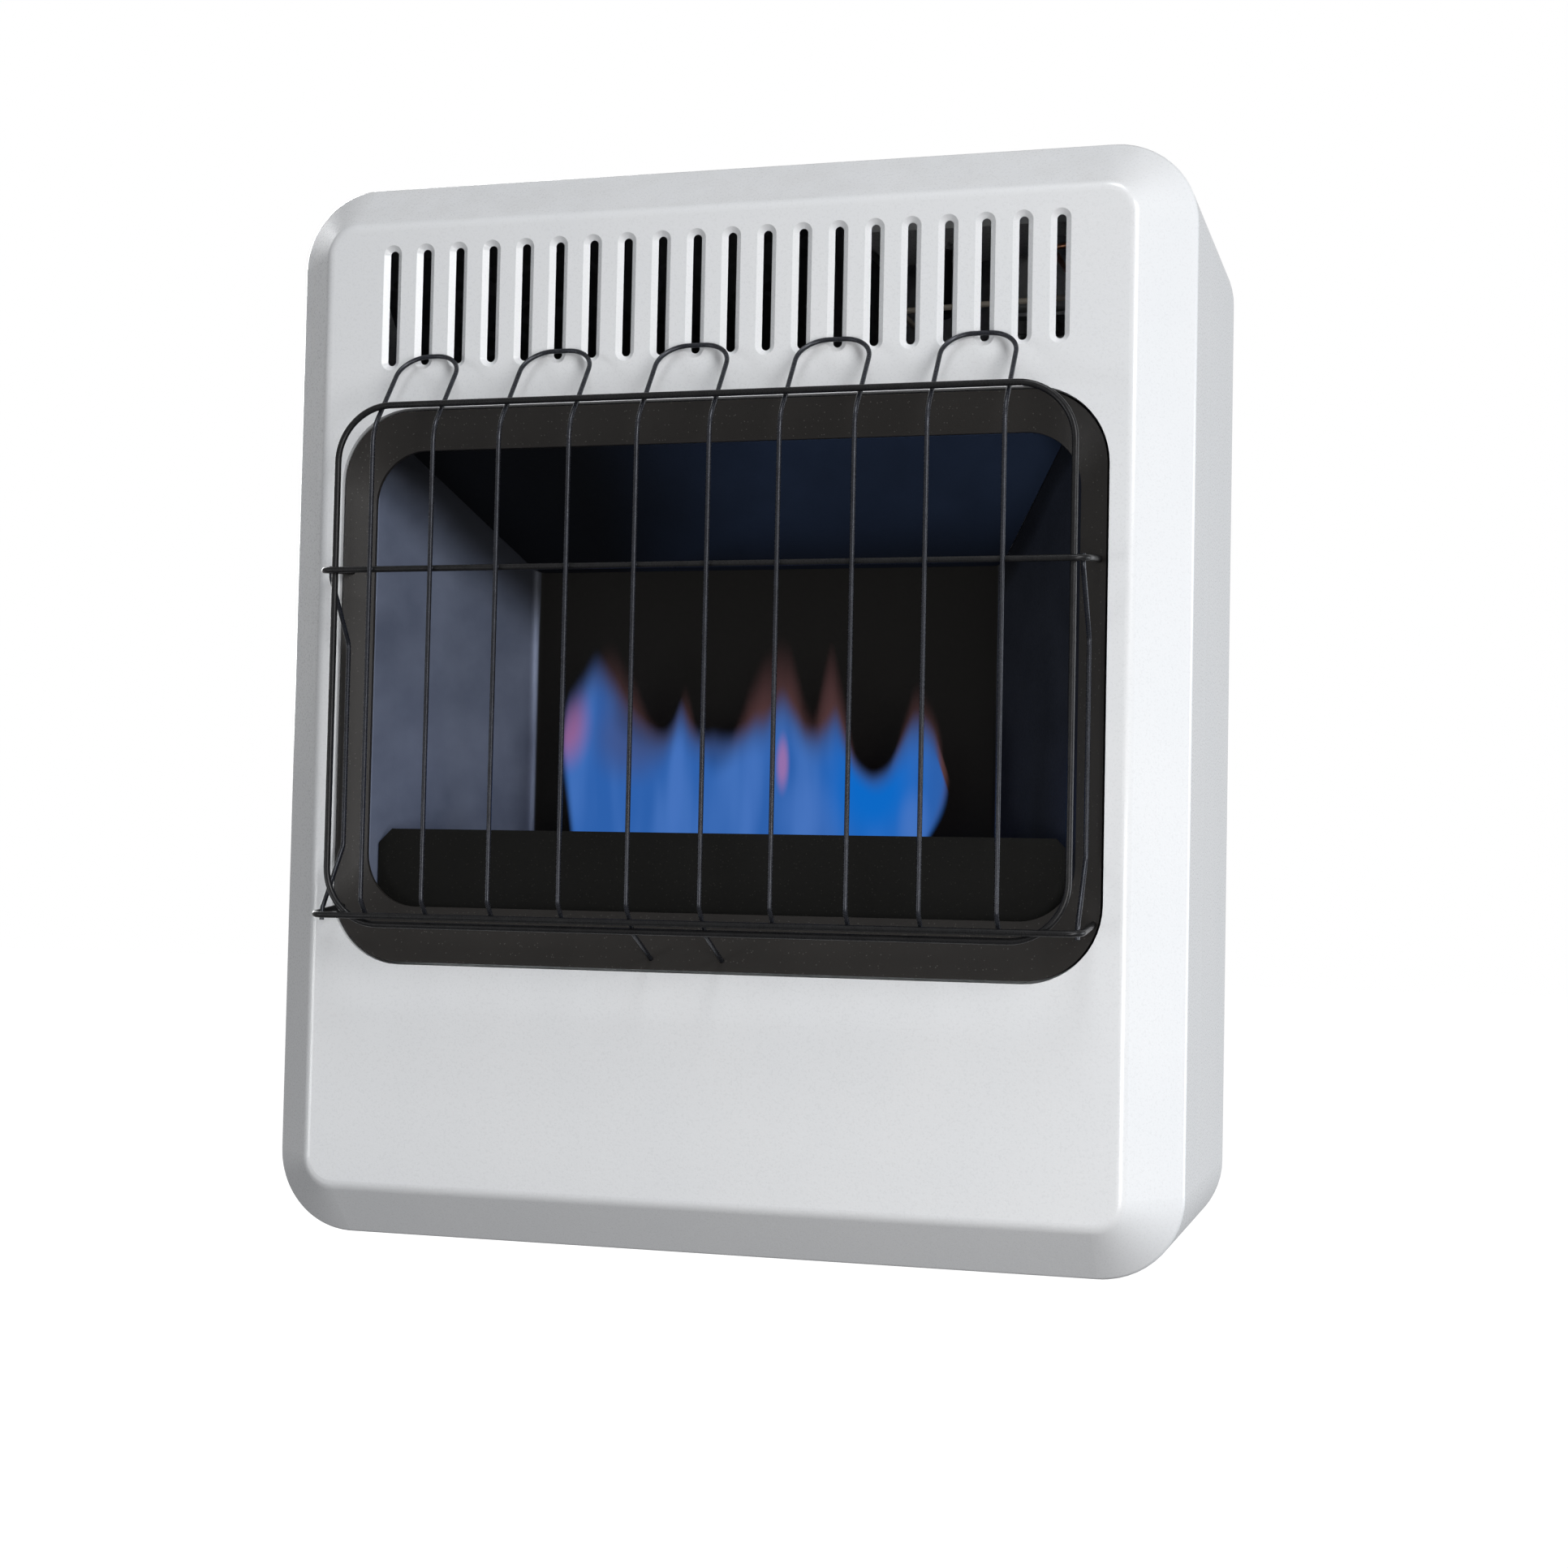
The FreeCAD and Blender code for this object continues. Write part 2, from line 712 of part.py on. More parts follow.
def firebox_plan(inset):
    """The plan of the splayed sides and back, as places for a path, this far inside the sheet."""
    mouth = firebox_mouth_w / 2 - inset
    back = firebox_back_w / 2 - inset
    front_set = bezel_back_set + seat_gap + sheet_t
    far = firebox_back_set - inset
    lane = [(-mouth - firebox_flange_w, front_set), (-mouth, front_set), (-back, far)]
    lane += [(back, far), (mouth, front_set), (mouth + firebox_flange_w, front_set)]
    return lane


def firebox_wrap():
    """Side walls, back wall and front flanges, one sheet with round vertical bends."""
    places = [point(x, distance, shelf_top_z) for x, distance in firebox_plan(0)]
    tight = 2 * sheet_t
    spine = path_wire(places, [tight, firebox_bend_r, firebox_bend_r, tight])
    strip = spine.makeOffset2D(sheet_t, 0, True, True)
    wrap = strip.extrude(V(0, 0, firebox_top_z - shelf_top_z))
    slope = [point(0, ceiling_front_set, ceiling_front_z + sheet_t),
             point(0, firebox_back_set + cut_over, ceiling_line(firebox_back_set + cut_over) + sheet_t),
             point(0, firebox_back_set + cut_over, firebox_top_z + cut_over),
             point(0, ceiling_front_set, firebox_top_z + cut_over)]
    wedge = Part.Face(Part.makePolygon(slope + [slope[0]])).extrude(V(cabinet_w, 0, 0))
    wedge.translate(V(-half_w, 0, 0))
    reach = half_w - burner_right_x
    mixer_hole = across(mixer_r + seat_gap, reach, burner_right_x, burner_set, burner_z)
    line_holes = [across(line_r + seat_gap, reach, burner_right_x, pilot_set, z)
                  for line_r, x, lane, z in side_lines()]
    return wrap.cut([wedge, mixer_hole] + line_holes)


def side_lines():
    """The probe's, gas and spark lines: radius, x at the pilot, x at the right side and z of the run."""
    low = shelf_top_z + 2 * side_line_gap
    rise = 2 * pilot_line_r + side_line_gap
    return [(lead_r, pilot_x - pilot_spacing, side_lane_x, low),
            (pilot_line_r, pilot_x, side_lane_x - rise, low + rise),
            (lead_r, pilot_x + pilot_spacing, side_lane_x - 2 * rise, low + 2 * rise)]


def ceiling_line(distance):
    """The z of the ceiling's underside at a distance behind the panel."""
    share = (distance - ceiling_front_set) / (firebox_back_set - ceiling_front_set)
    return ceiling_front_z + share * (ceiling_back_z - ceiling_front_z)


def firebox_inside(low_z, high_z, gap):
    """The space inside the firebox's walls, less a gap."""
    corners = [point(x, distance, low_z) for x, distance in firebox_plan(sheet_t + gap)[1:5]]
    room = Part.Face(Part.makePolygon(corners + [corners[0]])).extrude(V(0, 0, high_z - low_z))
    far = max(corner.y for corner in corners)
    rear = [e for e in room.Edges if e.BoundBox.ZLength > gap and e.BoundBox.YMin > far - gap]
    return room.makeFillet(firebox_bend_r + sheet_t, rear)


def firebox_ceiling():
    """The slanted baffle over the flames, with a stiffening lip at its front."""
    far = firebox_back_set
    drop = sheet_t / math.cos(math.atan2(ceiling_front_z - ceiling_back_z, far - ceiling_front_set))
    profile = [point(0, ceiling_front_set, ceiling_front_z), point(0, far, ceiling_line(far)),
               point(0, far, ceiling_line(far) + drop),
               point(0, ceiling_front_set + sheet_t, ceiling_front_z + drop),
               point(0, ceiling_front_set + sheet_t, firebox_top_z + shelf_flange_h),
               point(0, ceiling_front_set, firebox_top_z + shelf_flange_h)]
    sheet = Part.Face(Part.makePolygon(profile + [profile[0]])).extrude(V(cabinet_w, 0, 0))
    sheet.translate(V(-half_w, 0, 0))
    return sheet.common(firebox_inside(ceiling_back_z - cut_over, cabinet_h, seat_gap))


def base_shelf():
    """The shelf under the firebox, with bent flanges, air openings and a pipe notch."""
    side = half_w - sheet_t - seat_gap
    front, far = shelf_wide_set, back_panel_set
    low = shelf_top_z - sheet_t
    tongue = firebox_mouth_w / 2 + firebox_flange_w
    top = box(-side, side, front, far, low, shelf_top_z)
    top = top.fuse(box(-tongue, tongue, shelf_front_set, front, low, shelf_top_z))
    flange_low = low - shelf_flange_h
    flanges = [box(-tongue, tongue, shelf_front_set, shelf_front_set + sheet_t, flange_low, low),
               box(-side, side, far - sheet_t, far, flange_low, low),
               box(-side, -side + sheet_t, front, far, flange_low, low),
               box(side - sheet_t, side, front, far, flange_low, low)]
    air_half = firebox_mouth_w / 4
    cuts = [box(-air_half, air_half, burner_set - burner_r / 2, burner_set + burner_r / 2, low - cut_over,
                shelf_top_z + cut_over)]
    rear_near = firebox_back_set + burner_r
    rear_far = heat_shield_set - burner_r
    cuts.append(box(-air_half, air_half, rear_near, rear_far, low - cut_over, shelf_top_z + cut_over))
    notch = regulator_neck_r + inlet_hole_gap
    cuts.append(upright(notch, 2 * cut_over, regulator_x, regulator_set, low - cut_over))
    lane = capillary_lane_x()
    cuts.append(upright(capillary_r + hook_clear, 2 * cut_over, lane, control_set, low - cut_over))
    return top.fuse(flanges).cut(cuts).common(inside_cabinet())


def inside_cabinet():
    """The room inside the cover, the joggle and the casing, less the seats' gap."""
    inset = 2 * sheet_t + 2 * seat_gap
    neck_end = flange_end_set + 3 * sheet_t
    room = rounded_block(cabinet_w - 2 * inset, inset, cabinet_h - inset, cabinet_corner_r - inset,
                         0, neck_end)
    inset = sheet_t + seat_gap
    return room.fuse(rounded_block(cabinet_w - 2 * inset, inset, cabinet_h - inset, cabinet_corner_r - inset,
                                   neck_end, back_panel_set))


def burner_shield():
    """The low plate in front of the burner, with cut corners and a foot."""
    half = shield_w / 2
    cut = shield_corner_cut
    top = shield_top_z
    low = shelf_top_z
    r = shield_low_corner_r
    leg = r * (1 - math.cos(math.radians(45)))

    def places(*pairs):
        return [point(x, shield_set, z) for x, z in pairs]

    foot_line = places((-half + r, low), (half - r, low))
    right = places((half - r, low), (half - leg, low + leg), (half, low + r))
    left = places((-half, low + r), (-half + leg, low + leg), (-half + r, low))
    rim = places((half, low + r), (half, top - cut), (half - cut, top), (-half + cut, top),
                 (-half, top - cut), (-half, low + r))
    edges = [Part.LineSegment(*foot_line).toShape(), Part.Arc(*right).toShape()]
    edges += [Part.LineSegment(first, last).toShape() for first, last in zip(rim, rim[1:])]
    edges.append(Part.Arc(*left).toShape())
    plate = slab(Part.Wire(edges), shield_set, shield_set + sheet_t)
    foot = box(-half + r, half - r, shield_set, shield_set + shield_foot, low, low + sheet_t)
    return plate.fuse(foot)


def burner_tube():
    """A drawn burner: domed end, ported body, mixer and bell mouth, turned about its axis."""
    left = -burner_l / 2
    r = burner_r

    def half_section(wall):
        end = left + wall
        step = burner_right_x
        places = [(end, 0), (end, r - wall), (step - r + mixer_r, r - wall), (step, mixer_r - wall),
                  (step + mixer_l, mixer_r - wall), (bell_x + wall, bell_r - wall), (bell_x + wall, 0)]
        if not wall:
            places[5] = (bell_x, bell_r)
            places[6] = (bell_x, 0)
        return [point(x, burner_set, burner_z + radius) for x, radius in places]

    def turned(wall):
        places = half_section(wall)
        face = Part.Face(Part.makePolygon(places + [places[0]]))
        return face.revolve(point(0, burner_set, burner_z), V(1, 0, 0), 360)

    def end_rim(form, x):
        near = burner_wall / 4
        return [e for e in form.Edges if abs(e.BoundBox.XMin - x) < near and e.BoundBox.XLength < near
                and e.BoundBox.ZLength > r]

    body = turned(0)
    body = body.makeFillet(r / 3, end_rim(body, left))
    hollow = turned(burner_wall)
    body = body.cut(hollow.makeFillet(r / 3 - burner_wall, end_rim(hollow, left + burner_wall)))
    cuts = []
    for step in range(port_count):
        x = (step - (port_count - 1) / 2) * port_pitch
        cuts.append(box(x - port_w / 2, x + port_w / 2, burner_set - port_l / 2, burner_set + port_l / 2,
                        burner_z, burner_z + r + cut_over))
    return body.cut(cuts)


def burner_saddles():
    """Two bent straps that carry the burner over the shelf."""
    saddles = []
    for hand in (-1, 1):
        x = hand * (burner_l / 2 - saddle_inset)
        half = burner_r * saddle_half_share
        wide = half + sheet_t
        block = box(x - saddle_w / 2, x + saddle_w / 2, burner_set - wide, burner_set + wide,
                    shelf_top_z, burner_z)
        room = box(x - saddle_w, x + saddle_w, burner_set - half, burner_set + half, shelf_top_z - cut_over,
                   burner_z - burner_r - 2 * sheet_t)
        seat = across(burner_r + weld_gap, 2 * saddle_w, x - saddle_w, burner_set, burner_z)
        foot = box(x - saddle_w / 2, x + saddle_w / 2, burner_set + half, burner_set + half + saddle_w,
                   shelf_top_z, shelf_top_z + sheet_t)
        saddles.append(block.cut([room, seat]).fuse(foot))
    return Part.makeCompound(saddles)


def orifice_bracket():
    """An angle on the shelf that holds the gas orifice in line with the bell mouth."""
    x = orifice_x + orifice_tip_l
    half = orifice_hex
    upright_plate = box(x, x + bracket_t, burner_set - half, burner_set + half, shelf_top_z, burner_z + half)
    foot = box(x, x + orifice_l, burner_set - half, burner_set + half, shelf_top_z, shelf_top_z + bracket_t)
    hole = across(orifice_hex / 2 - bracket_t, 2 * cut_over, x - cut_over, burner_set, burner_z)
    return upright_plate.fuse(foot).cut(hole)


def orifice_fitting():
    """A brass spud: tip with its jet, neck through the bracket and hexagon behind it."""
    x = orifice_x
    face = x + orifice_tip_l
    tip = Part.makeCone(orifice_tip_r / 2, orifice_tip_r, orifice_tip_l, point(x, burner_set, burner_z),
                        V(1, 0, 0))
    neck = across(orifice_hex / 2 - bracket_t - weld_gap, bracket_t, face, burner_set, burner_z)
    nut = hexagon(orifice_hex, orifice_l - orifice_tip_l - bracket_t,
                  point(face + bracket_t, burner_set, burner_z),
                  V(1, 0, 0))
    jet = across(orifice_hole_r, orifice_tip_l, x, burner_set, burner_z)
    return tip.fuse([neck, nut]).cut(jet)


def pilot_bracket():
    """An angle on the shelf with a small plate that carries the pilot, electrode and probe."""
    near = pilot_set + pilot_r + sheet_t
    half = pilot_bracket_w / 2
    riser = box(pilot_x - half, pilot_x + half, near, near + sheet_t, shelf_top_z, pilot_plate_z + sheet_t)
    plate = box(pilot_x - half, pilot_x + half, pilot_set - pilot_r - sheet_t, near, pilot_plate_z,
                pilot_plate_z + sheet_t)
    foot_far = near + sheet_t + saddle_w / 2
    foot = box(pilot_x - half, pilot_x + half, near, foot_far, shelf_top_z, shelf_top_z + sheet_t)
    cuts = [upright(radius + weld_gap, 2 * cut_over, x, pilot_set, pilot_plate_z - cut_over)
            for x, radius in ((pilot_x, pilot_r), (pilot_x + pilot_spacing, electrode_r),
                              (pilot_x - pilot_spacing, probe_r))]
    return riser.fuse([plate, foot]).cut(cuts)


def pilot_burner():
    """The pilot's body, its flame hood and the cup where its line enters."""
    low = pilot_plate_z - pilot_h / 2
    body = upright(pilot_r, pilot_h, pilot_x, pilot_set, low)
    hood = upright(pilot_hood_r, pilot_hood_h, pilot_x, pilot_set, low + pilot_h - pilot_hood_h / 2)
    room = upright(pilot_hood_r - sheet_t, pilot_hood_h, pilot_x, pilot_set, low + pilot_h)
    half = pilot_hood_r / 2
    side = box(pilot_x - half, pilot_x + half, pilot_set, pilot_set + 2 * pilot_hood_r,
               low + pilot_h, low + 2 * pilot_h)
    return body.fuse(hood).cut([room, side])


def pilot_electrode():
    """A ceramic rod with a thin spark wire at its top."""
    x = pilot_x + pilot_spacing
    low = pilot_plate_z - electrode_h / 2
    ceramic = upright(electrode_r, electrode_h, x, pilot_set, low)
    tip = upright(electrode_tip_r, electrode_tip_h, x, pilot_set, low + electrode_h)
    return ceramic.fuse(tip)


def thermocouple():
    """The probe beside the pilot's flame."""
    low = pilot_plate_z - probe_h / 2
    probe = upright(probe_r, probe_h, pilot_x - pilot_spacing, pilot_set, low)
    ends = [e for e in probe.Edges if abs(e.BoundBox.ZMin - low - probe_h) < probe_r / 20]
    return probe.makeFillet(probe_r / 2, ends)


def gas_valve():
    """A cast valve: body, bonnet for the stem, and bosses for its lines."""
    near = control_set - valve_d / 2
    body = box(knob_x - valve_w / 2, knob_x + valve_w / 2, near, near + valve_d, valve_low_z, valve_top_z)
    body = body.makeFillet(valve_edge_r, body.Edges)
    bonnet = upright(collar_r + bonnet_wall, bonnet_h + valve_edge_r, knob_x, control_set,
                     valve_top_z - valve_edge_r)
    bosses = []
    for share, radius, length in valve_ports():
        bosses.append(upright(radius, length + valve_edge_r, valve_port_x(share), control_set,
                              valve_low_z - length))
    well = upright(collar_r + stem_fit, bonnet_h, knob_x, control_set, valve_top_z + bonnet_floor)
    bore = upright(stem_r + stem_fit, bonnet_h + valve_h, knob_x, control_set, valve_low_z + valve_edge_r)
    sockets = [upright(valve_screw_r, valve_screw_l, x, distance, valve_low_z - cut_over)
               for x, distance in valve_screw_places()]
    probe_port = backward(port_boss_r, port_boss_h, probe_port_x(), control_set - valve_d / 2 - small_boss_h,
                          probe_port_z())
    return body.fuse([bonnet, probe_port] + bosses).cut([well, bore] + sockets)


def probe_port_x():
    """The x of the thermocouple's port on the valve's front."""
    return knob_x + valve_w / 5


def probe_port_z():
    """The z of the ports on the valve's front and side."""
    return valve_low_z + valve_h / 2


def valve_screw_places():
    """Two screws near opposite corners under the valve."""
    along = valve_w / 2 - 2 * valve_screw_r - valve_edge_r / 2
    back = valve_d / 2 - 2 * valve_screw_r
    return [(knob_x - along, control_set + back), (knob_x + along, control_set + back)]


def valve_screws():
    """Screws up through the bracket's shelf into the valve."""
    screws = []
    for x, distance in valve_screw_places():
        base = point(x, distance, valve_low_z - bracket_t)
        screws.append(pan_screw(base, V(0, 0, 1), valve_screw_r - weld_gap, valve_screw_l - cut_over,
                                valve_screw_head_r, valve_screw_head_h))
    return Part.makeCompound(screws)


def valve_ports():
    """Place as a share of the valve's width, radius and length of each boss under the valve."""
    return [(valve_inlet_share, port_boss_r, port_boss_h), (valve_outlet_share, port_boss_r, port_boss_h),
            (valve_pilot_share, small_boss_r, small_boss_h)]


def valve_port_x(share):
    """The x of a boss under the valve."""
    return knob_x + share * valve_w


def valve_bracket():
    """An angle from the back panel whose shelf carries the valve."""
    top = valve_low_z
    half = valve_w / 2
    shelf = box(knob_x - half, knob_x + half, control_set - valve_d / 2, back_panel_set, top - bracket_t, top)
    plate = box(knob_x - half, knob_x + half, back_panel_set - bracket_t, back_panel_set, top - valve_d, top)
    cuts = [upright(radius + seat_gap, 2 * cut_over, valve_port_x(share), control_set, top - cut_over)
            for share, radius, length in valve_ports()]
    for x, distance in valve_screw_places():
        cuts.append(upright(valve_screw_r, 2 * cut_over, x, distance, top - cut_over))
    return shelf.fuse(plate).cut(cuts)


def control_tray():
    """The recessed tray under the casing's cut-out, with holes for the stem and the igniter."""
    rim = tray_block(tray_w + 2 * tray_rim_w, tray_d + 2 * tray_rim_w, tray_corner_r + tray_rim_w,
                     cabinet_h - 2 * sheet_t, sheet_t)
    pan = tray_block(tray_w, tray_d, tray_corner_r, tray_floor_z - sheet_t, tray_deep + 2 * sheet_t)
    room = tray_block(tray_w - 2 * sheet_t, tray_d - 2 * sheet_t, tray_corner_r - sheet_t, tray_floor_z,
                      tray_deep + cut_over)
    pan_top = box(-half_w, half_w, 0, wall_to_panel, cabinet_h - sheet_t, cabinet_h + cut_over)
    stem_hole = upright(stem_r + stem_hole_gap, 2 * cut_over, knob_x, control_set, tray_floor_z - cut_over)
    igniter_hole = upright(igniter_r + weld_gap, 2 * cut_over, igniter_x, control_set,
                           tray_floor_z - cut_over)
    return rim.fuse(pan).cut([room, pan_top, stem_hole, igniter_hole])


def stem_collar():
    """The spring's top seat, which the stem carries down when the knob is pushed."""
    low = collar_low_z()
    ring = upright(collar_r, collar_h, knob_x, control_set, low)
    return ring.cut(upright(stem_r + stem_fit, 2 * collar_h, knob_x, control_set, low - collar_h / 2))


def collar_low_z():
    """The collar rests at the bonnet's mouth, above its travel."""
    return valve_top_z + bonnet_floor + knob_travel + seat_gap


def valve_stem():
    """The valve's shaft, with a flat for the knob."""
    low = valve_low_z + valve_edge_r + knob_travel + seat_gap
    top = knob_low_z + knob_h - knob_wall - seat_gap
    shaft = upright(stem_r, top - low, knob_x, control_set, low)
    flat = box(knob_x - stem_r, knob_x + stem_r, control_set + stem_r - stem_flat, control_set + 2 * stem_r,
               knob_low_z, top + cut_over)
    return shaft.cut(flat)


def control_knob():
    """A fluted cap with a grip bar, a pointer notch and a bore with a flat."""
    centre = point(knob_x, control_set, knob_low_z)
    skirt = Part.makeCone(knob_r, knob_r - knob_wall / 2, knob_h - grip_h, centre, V(0, 0, 1))
    grip_z = knob_low_z + knob_h - grip_h
    grip = box(knob_x - grip_w / 2, knob_x + grip_w / 2, control_set - knob_r + knob_wall,
               control_set + knob_r - knob_wall, grip_z, grip_z + grip_h)
    ends = [e for e in grip.Edges if e.BoundBox.ZLength > grip_h / 2]
    grip = grip.makeFillet(grip_w * grip_round_share, ends)
    hub_r = stem_r + knob_wall
    room = upright(knob_r - 2 * knob_wall, knob_h - grip_h - knob_wall, knob_x, control_set, knob_low_z)
    hub = upright(hub_r, knob_h - grip_h, knob_x, control_set, knob_low_z)
    bore = upright(stem_r, knob_h - knob_wall, knob_x, control_set, knob_low_z)
    key = box(knob_x - stem_r, knob_x + stem_r, control_set + stem_r - stem_flat, control_set + 2 * stem_r,
              knob_low_z - cut_over, knob_low_z + knob_h)
    flutes = []
    for step in range(knob_flutes):
        turn = 2 * math.pi * (step + 1 / 2) / knob_flutes
        reach = knob_r + knob_flute_r / 2
        flutes.append(upright(knob_flute_r, knob_h, knob_x + reach * math.cos(turn),
                              control_set + reach * math.sin(turn), knob_low_z))
    cap = skirt.cut(flutes).cut(room).fuse([hub, grip])
    return cap.cut(bore.cut(key))


def igniter_body():
    """The spark igniter under the tray, with its collar on top of the tray's floor."""
    top = tray_floor_z + igniter_bezel_h
    low = top - igniter_l
    barrel = upright(igniter_r, igniter_l, igniter_x, control_set, low)
    bezel = upright(igniter_bezel_r, igniter_bezel_h, igniter_x, control_set, tray_floor_z)
    rim = [e for e in bezel.Edges if abs(e.BoundBox.ZMin - top) < igniter_bezel_h / 20]
    bezel = bezel.makeFillet(igniter_bezel_h / 3, rim)
    terminal = upright(lead_r, port_boss_h, igniter_x, control_set, low - port_boss_h)
    well = upright(button_r + button_fit, button_h + button_travel, igniter_x, control_set,
                   button_low_z() - button_travel - seat_gap)
    return barrel.fuse([bezel, terminal]).cut(well)


def button_low_z():
    """The button's foot stays inside the igniter's well."""
    return tray_floor_z + igniter_bezel_h - button_h / 3


def igniter_nut():
    """The ring nut that holds the igniter from under the tray."""
    z = tray_floor_z - sheet_t - igniter_nut_h
    ring = upright(igniter_nut_r, igniter_nut_h, igniter_x, control_set, z)
    hole = upright(igniter_r + weld_gap, 2 * igniter_nut_h, igniter_x, control_set, z - igniter_nut_h / 2)
    return ring.cut(hole)


def igniter_button():
    """The push button, with a rounded top."""
    button = upright(button_r, button_h + button_h / 3, igniter_x, control_set, button_low_z())
    top_z = button_low_z() + 4 * button_h / 3
    top = [e for e in button.Edges if abs(e.BoundBox.ZMin - top_z) < button_r / 20]
    return button.makeFillet(button_r / 4, top)


def regulator():
    """A pressure regulator: flat drum, vent cap and a neck each for its two pipes."""
    drum = upright(regulator_r, regulator_h, regulator_x, regulator_set, regulator_low_z)
    drum = drum.makeFillet(regulator_h / 6, drum.Edges)
    low_neck = upright(regulator_neck_r, regulator_neck_h, regulator_x, regulator_set,
                       regulator_low_z - regulator_neck_h)
    top_neck = upright(regulator_neck_r, regulator_neck_h, regulator_x, regulator_set,
                       regulator_low_z + regulator_h)
    cap = Part.makeCylinder(regulator_neck_r, regulator_r + regulator_neck_h / 2,
                            point(regulator_x, regulator_set, regulator_low_z + regulator_h / 2), V(-1, 0, 0))
    return drum.fuse([low_neck, top_neck, cap])


def inlet_fitting():
    """The threaded inlet under the regulator, which the gas supply screws into from below."""
    top = regulator_low_z - regulator_neck_h
    low = top - inlet_l
    body = hexagon(inlet_hex, inlet_l, point(regulator_x, regulator_set, low), V(0, 0, 1))
    bore = upright(inlet_bore_r, inlet_bore_l, regulator_x, regulator_set, low)
    way = upright(inlet_way_r, inlet_l, regulator_x, regulator_set, low)
    return body.cut([bore, way])


def supply_line():
    """The pipe from the regulator up to the valve."""
    low = regulator_low_z + regulator_h + regulator_neck_h
    top = valve_low_z - port_boss_h
    valve_x = valve_port_x(valve_inlet_share)
    places = [point(regulator_x, regulator_set, low),
              point(regulator_x, regulator_set, top - 4 * pipe_bend_r),
              point(valve_x, control_set, top - 2 * pipe_bend_r), point(valve_x, control_set, top)]
    return rod(places, supply_r, pipe_bend_r)


def burner_line():
    """The pipe from the valve down the right side to the orifice."""
    top = valve_low_z - port_boss_h
    valve_x = valve_port_x(valve_outlet_share)
    end_x = orifice_x + orifice_l
    turn_z = top - pipe_bend_r - burner_line_r
    places = [point(valve_x, control_set, top), point(valve_x, control_set, turn_z),
              point(valve_x, burner_set + 2 * pipe_bend_r, turn_z),
              point(side_lane_x + pipe_bend_r, burner_set, turn_z),
              point(side_lane_x + pipe_bend_r, burner_set, burner_z), point(end_x, burner_set, burner_z)]
    bends = [pipe_bend_r, pipe_bend_r, pipe_bend_r, pipe_bend_r - burner_line_r]
    return rod(places, burner_line_r, bends)


def pilot_line():
    """The thin pipe from the valve to the pilot."""
    line_r, x, lane, run_z = side_lines()[1]
    top = valve_low_z - small_boss_h
    from_x = valve_port_x(valve_pilot_share)
    turn_z = pilot_turn_z()
    places = [point(from_x, control_set, top), point(from_x, control_set, turn_z),
              point(lane, pilot_set, turn_z), point(lane, pilot_set, run_z), point(x, pilot_set, run_z),
              point(x, pilot_set, pilot_plate_z - pilot_h / 2)]
    tight = lead_bend_r - side_line_gap
    return rod(places, line_r, [tight, tight, lead_bend_r, tight])


def pilot_turn_z():
    """The pilot's line crosses over the burner's line."""
    return valve_low_z - port_boss_h - pipe_bend_r + pilot_line_r + side_line_gap


def thermocouple_lead():
    """The probe's copper lead, up the right side and into the valve's front."""
    line_r, x, lane, run_z = side_lines()[0]
    top = probe_port_z()
    face = control_set - valve_d / 2 - small_boss_h
    places = [point(x, pilot_set, pilot_plate_z - probe_h / 2), point(x, pilot_set, run_z),
              point(lane, pilot_set, run_z), point(lane, pilot_set, top),
              point(probe_port_x(), pilot_set + 2 * lead_bend_r, top), point(probe_port_x(), face, top)]
    tight = lead_bend_r - side_line_gap
    return rod(places, line_r, [tight, lead_bend_r, lead_bend_r, lead_bend_r])


def igniter_lead():
    """The insulated spark lead from the electrode to the igniter's terminal."""
    line_r, x, lane, run_z = side_lines()[2]
    over = pilot_turn_z() + pilot_line_r + lead_r + side_line_gap / 2
    end = tray_floor_z + igniter_bezel_h - igniter_l - port_boss_h
    near = pilot_set + 2 * lead_bend_r
    places = [point(x, pilot_set, pilot_plate_z - electrode_h / 2), point(x, pilot_set, run_z),
              point(lane, pilot_set, run_z), point(lane, pilot_set, over), point(igniter_x, near, over),
              point(igniter_x, control_set, over), point(igniter_x, control_set, end)]
    small = side_line_gap
    return rod(places, line_r, [small, lead_bend_r, lead_bend_r, lead_bend_r, small + lead_r])


def thermostat_bulb():
    """The thermostat's sensing bulb, near the intake at the back."""
    bulb = across(bulb_r, bulb_l, bulb_x, bulb_set(), bulb_z)
    return bulb.makeFillet(bulb_r / 2, [e for e in bulb.Edges if e.BoundBox.XLength < bulb_r / 20])


def bulb_set():
    """The bulb lies off the back panel in its clips."""
    return back_panel_set - bulb_r - 2 * bulb_clip_t


def bulb_clips():
    """Two sprung clips round the bulb, on the back panel."""
    clips = []
    for share in bulb_clip_shares:
        x = bulb_x + share * bulb_l
        ring = across(bulb_r + bulb_clip_t, bulb_clip_w, x, bulb_set(), bulb_z)
        bore = across(bulb_r, bulb_clip_w, x, bulb_set(), bulb_z)
        mouth = box(x, x + bulb_clip_w, bulb_set() - 2 * bulb_r, bulb_set() - bulb_r / 2, bulb_z - bulb_r / 2,
                    bulb_z + bulb_r / 2)
        foot = box(x, x + bulb_clip_w, back_panel_set - bulb_clip_t, back_panel_set, bulb_z - 2 * bulb_r,
                   bulb_z + 2 * bulb_r)
        clips.append(ring.fuse(foot).cut([bore, mouth]))
    return Part.makeCompound(clips)


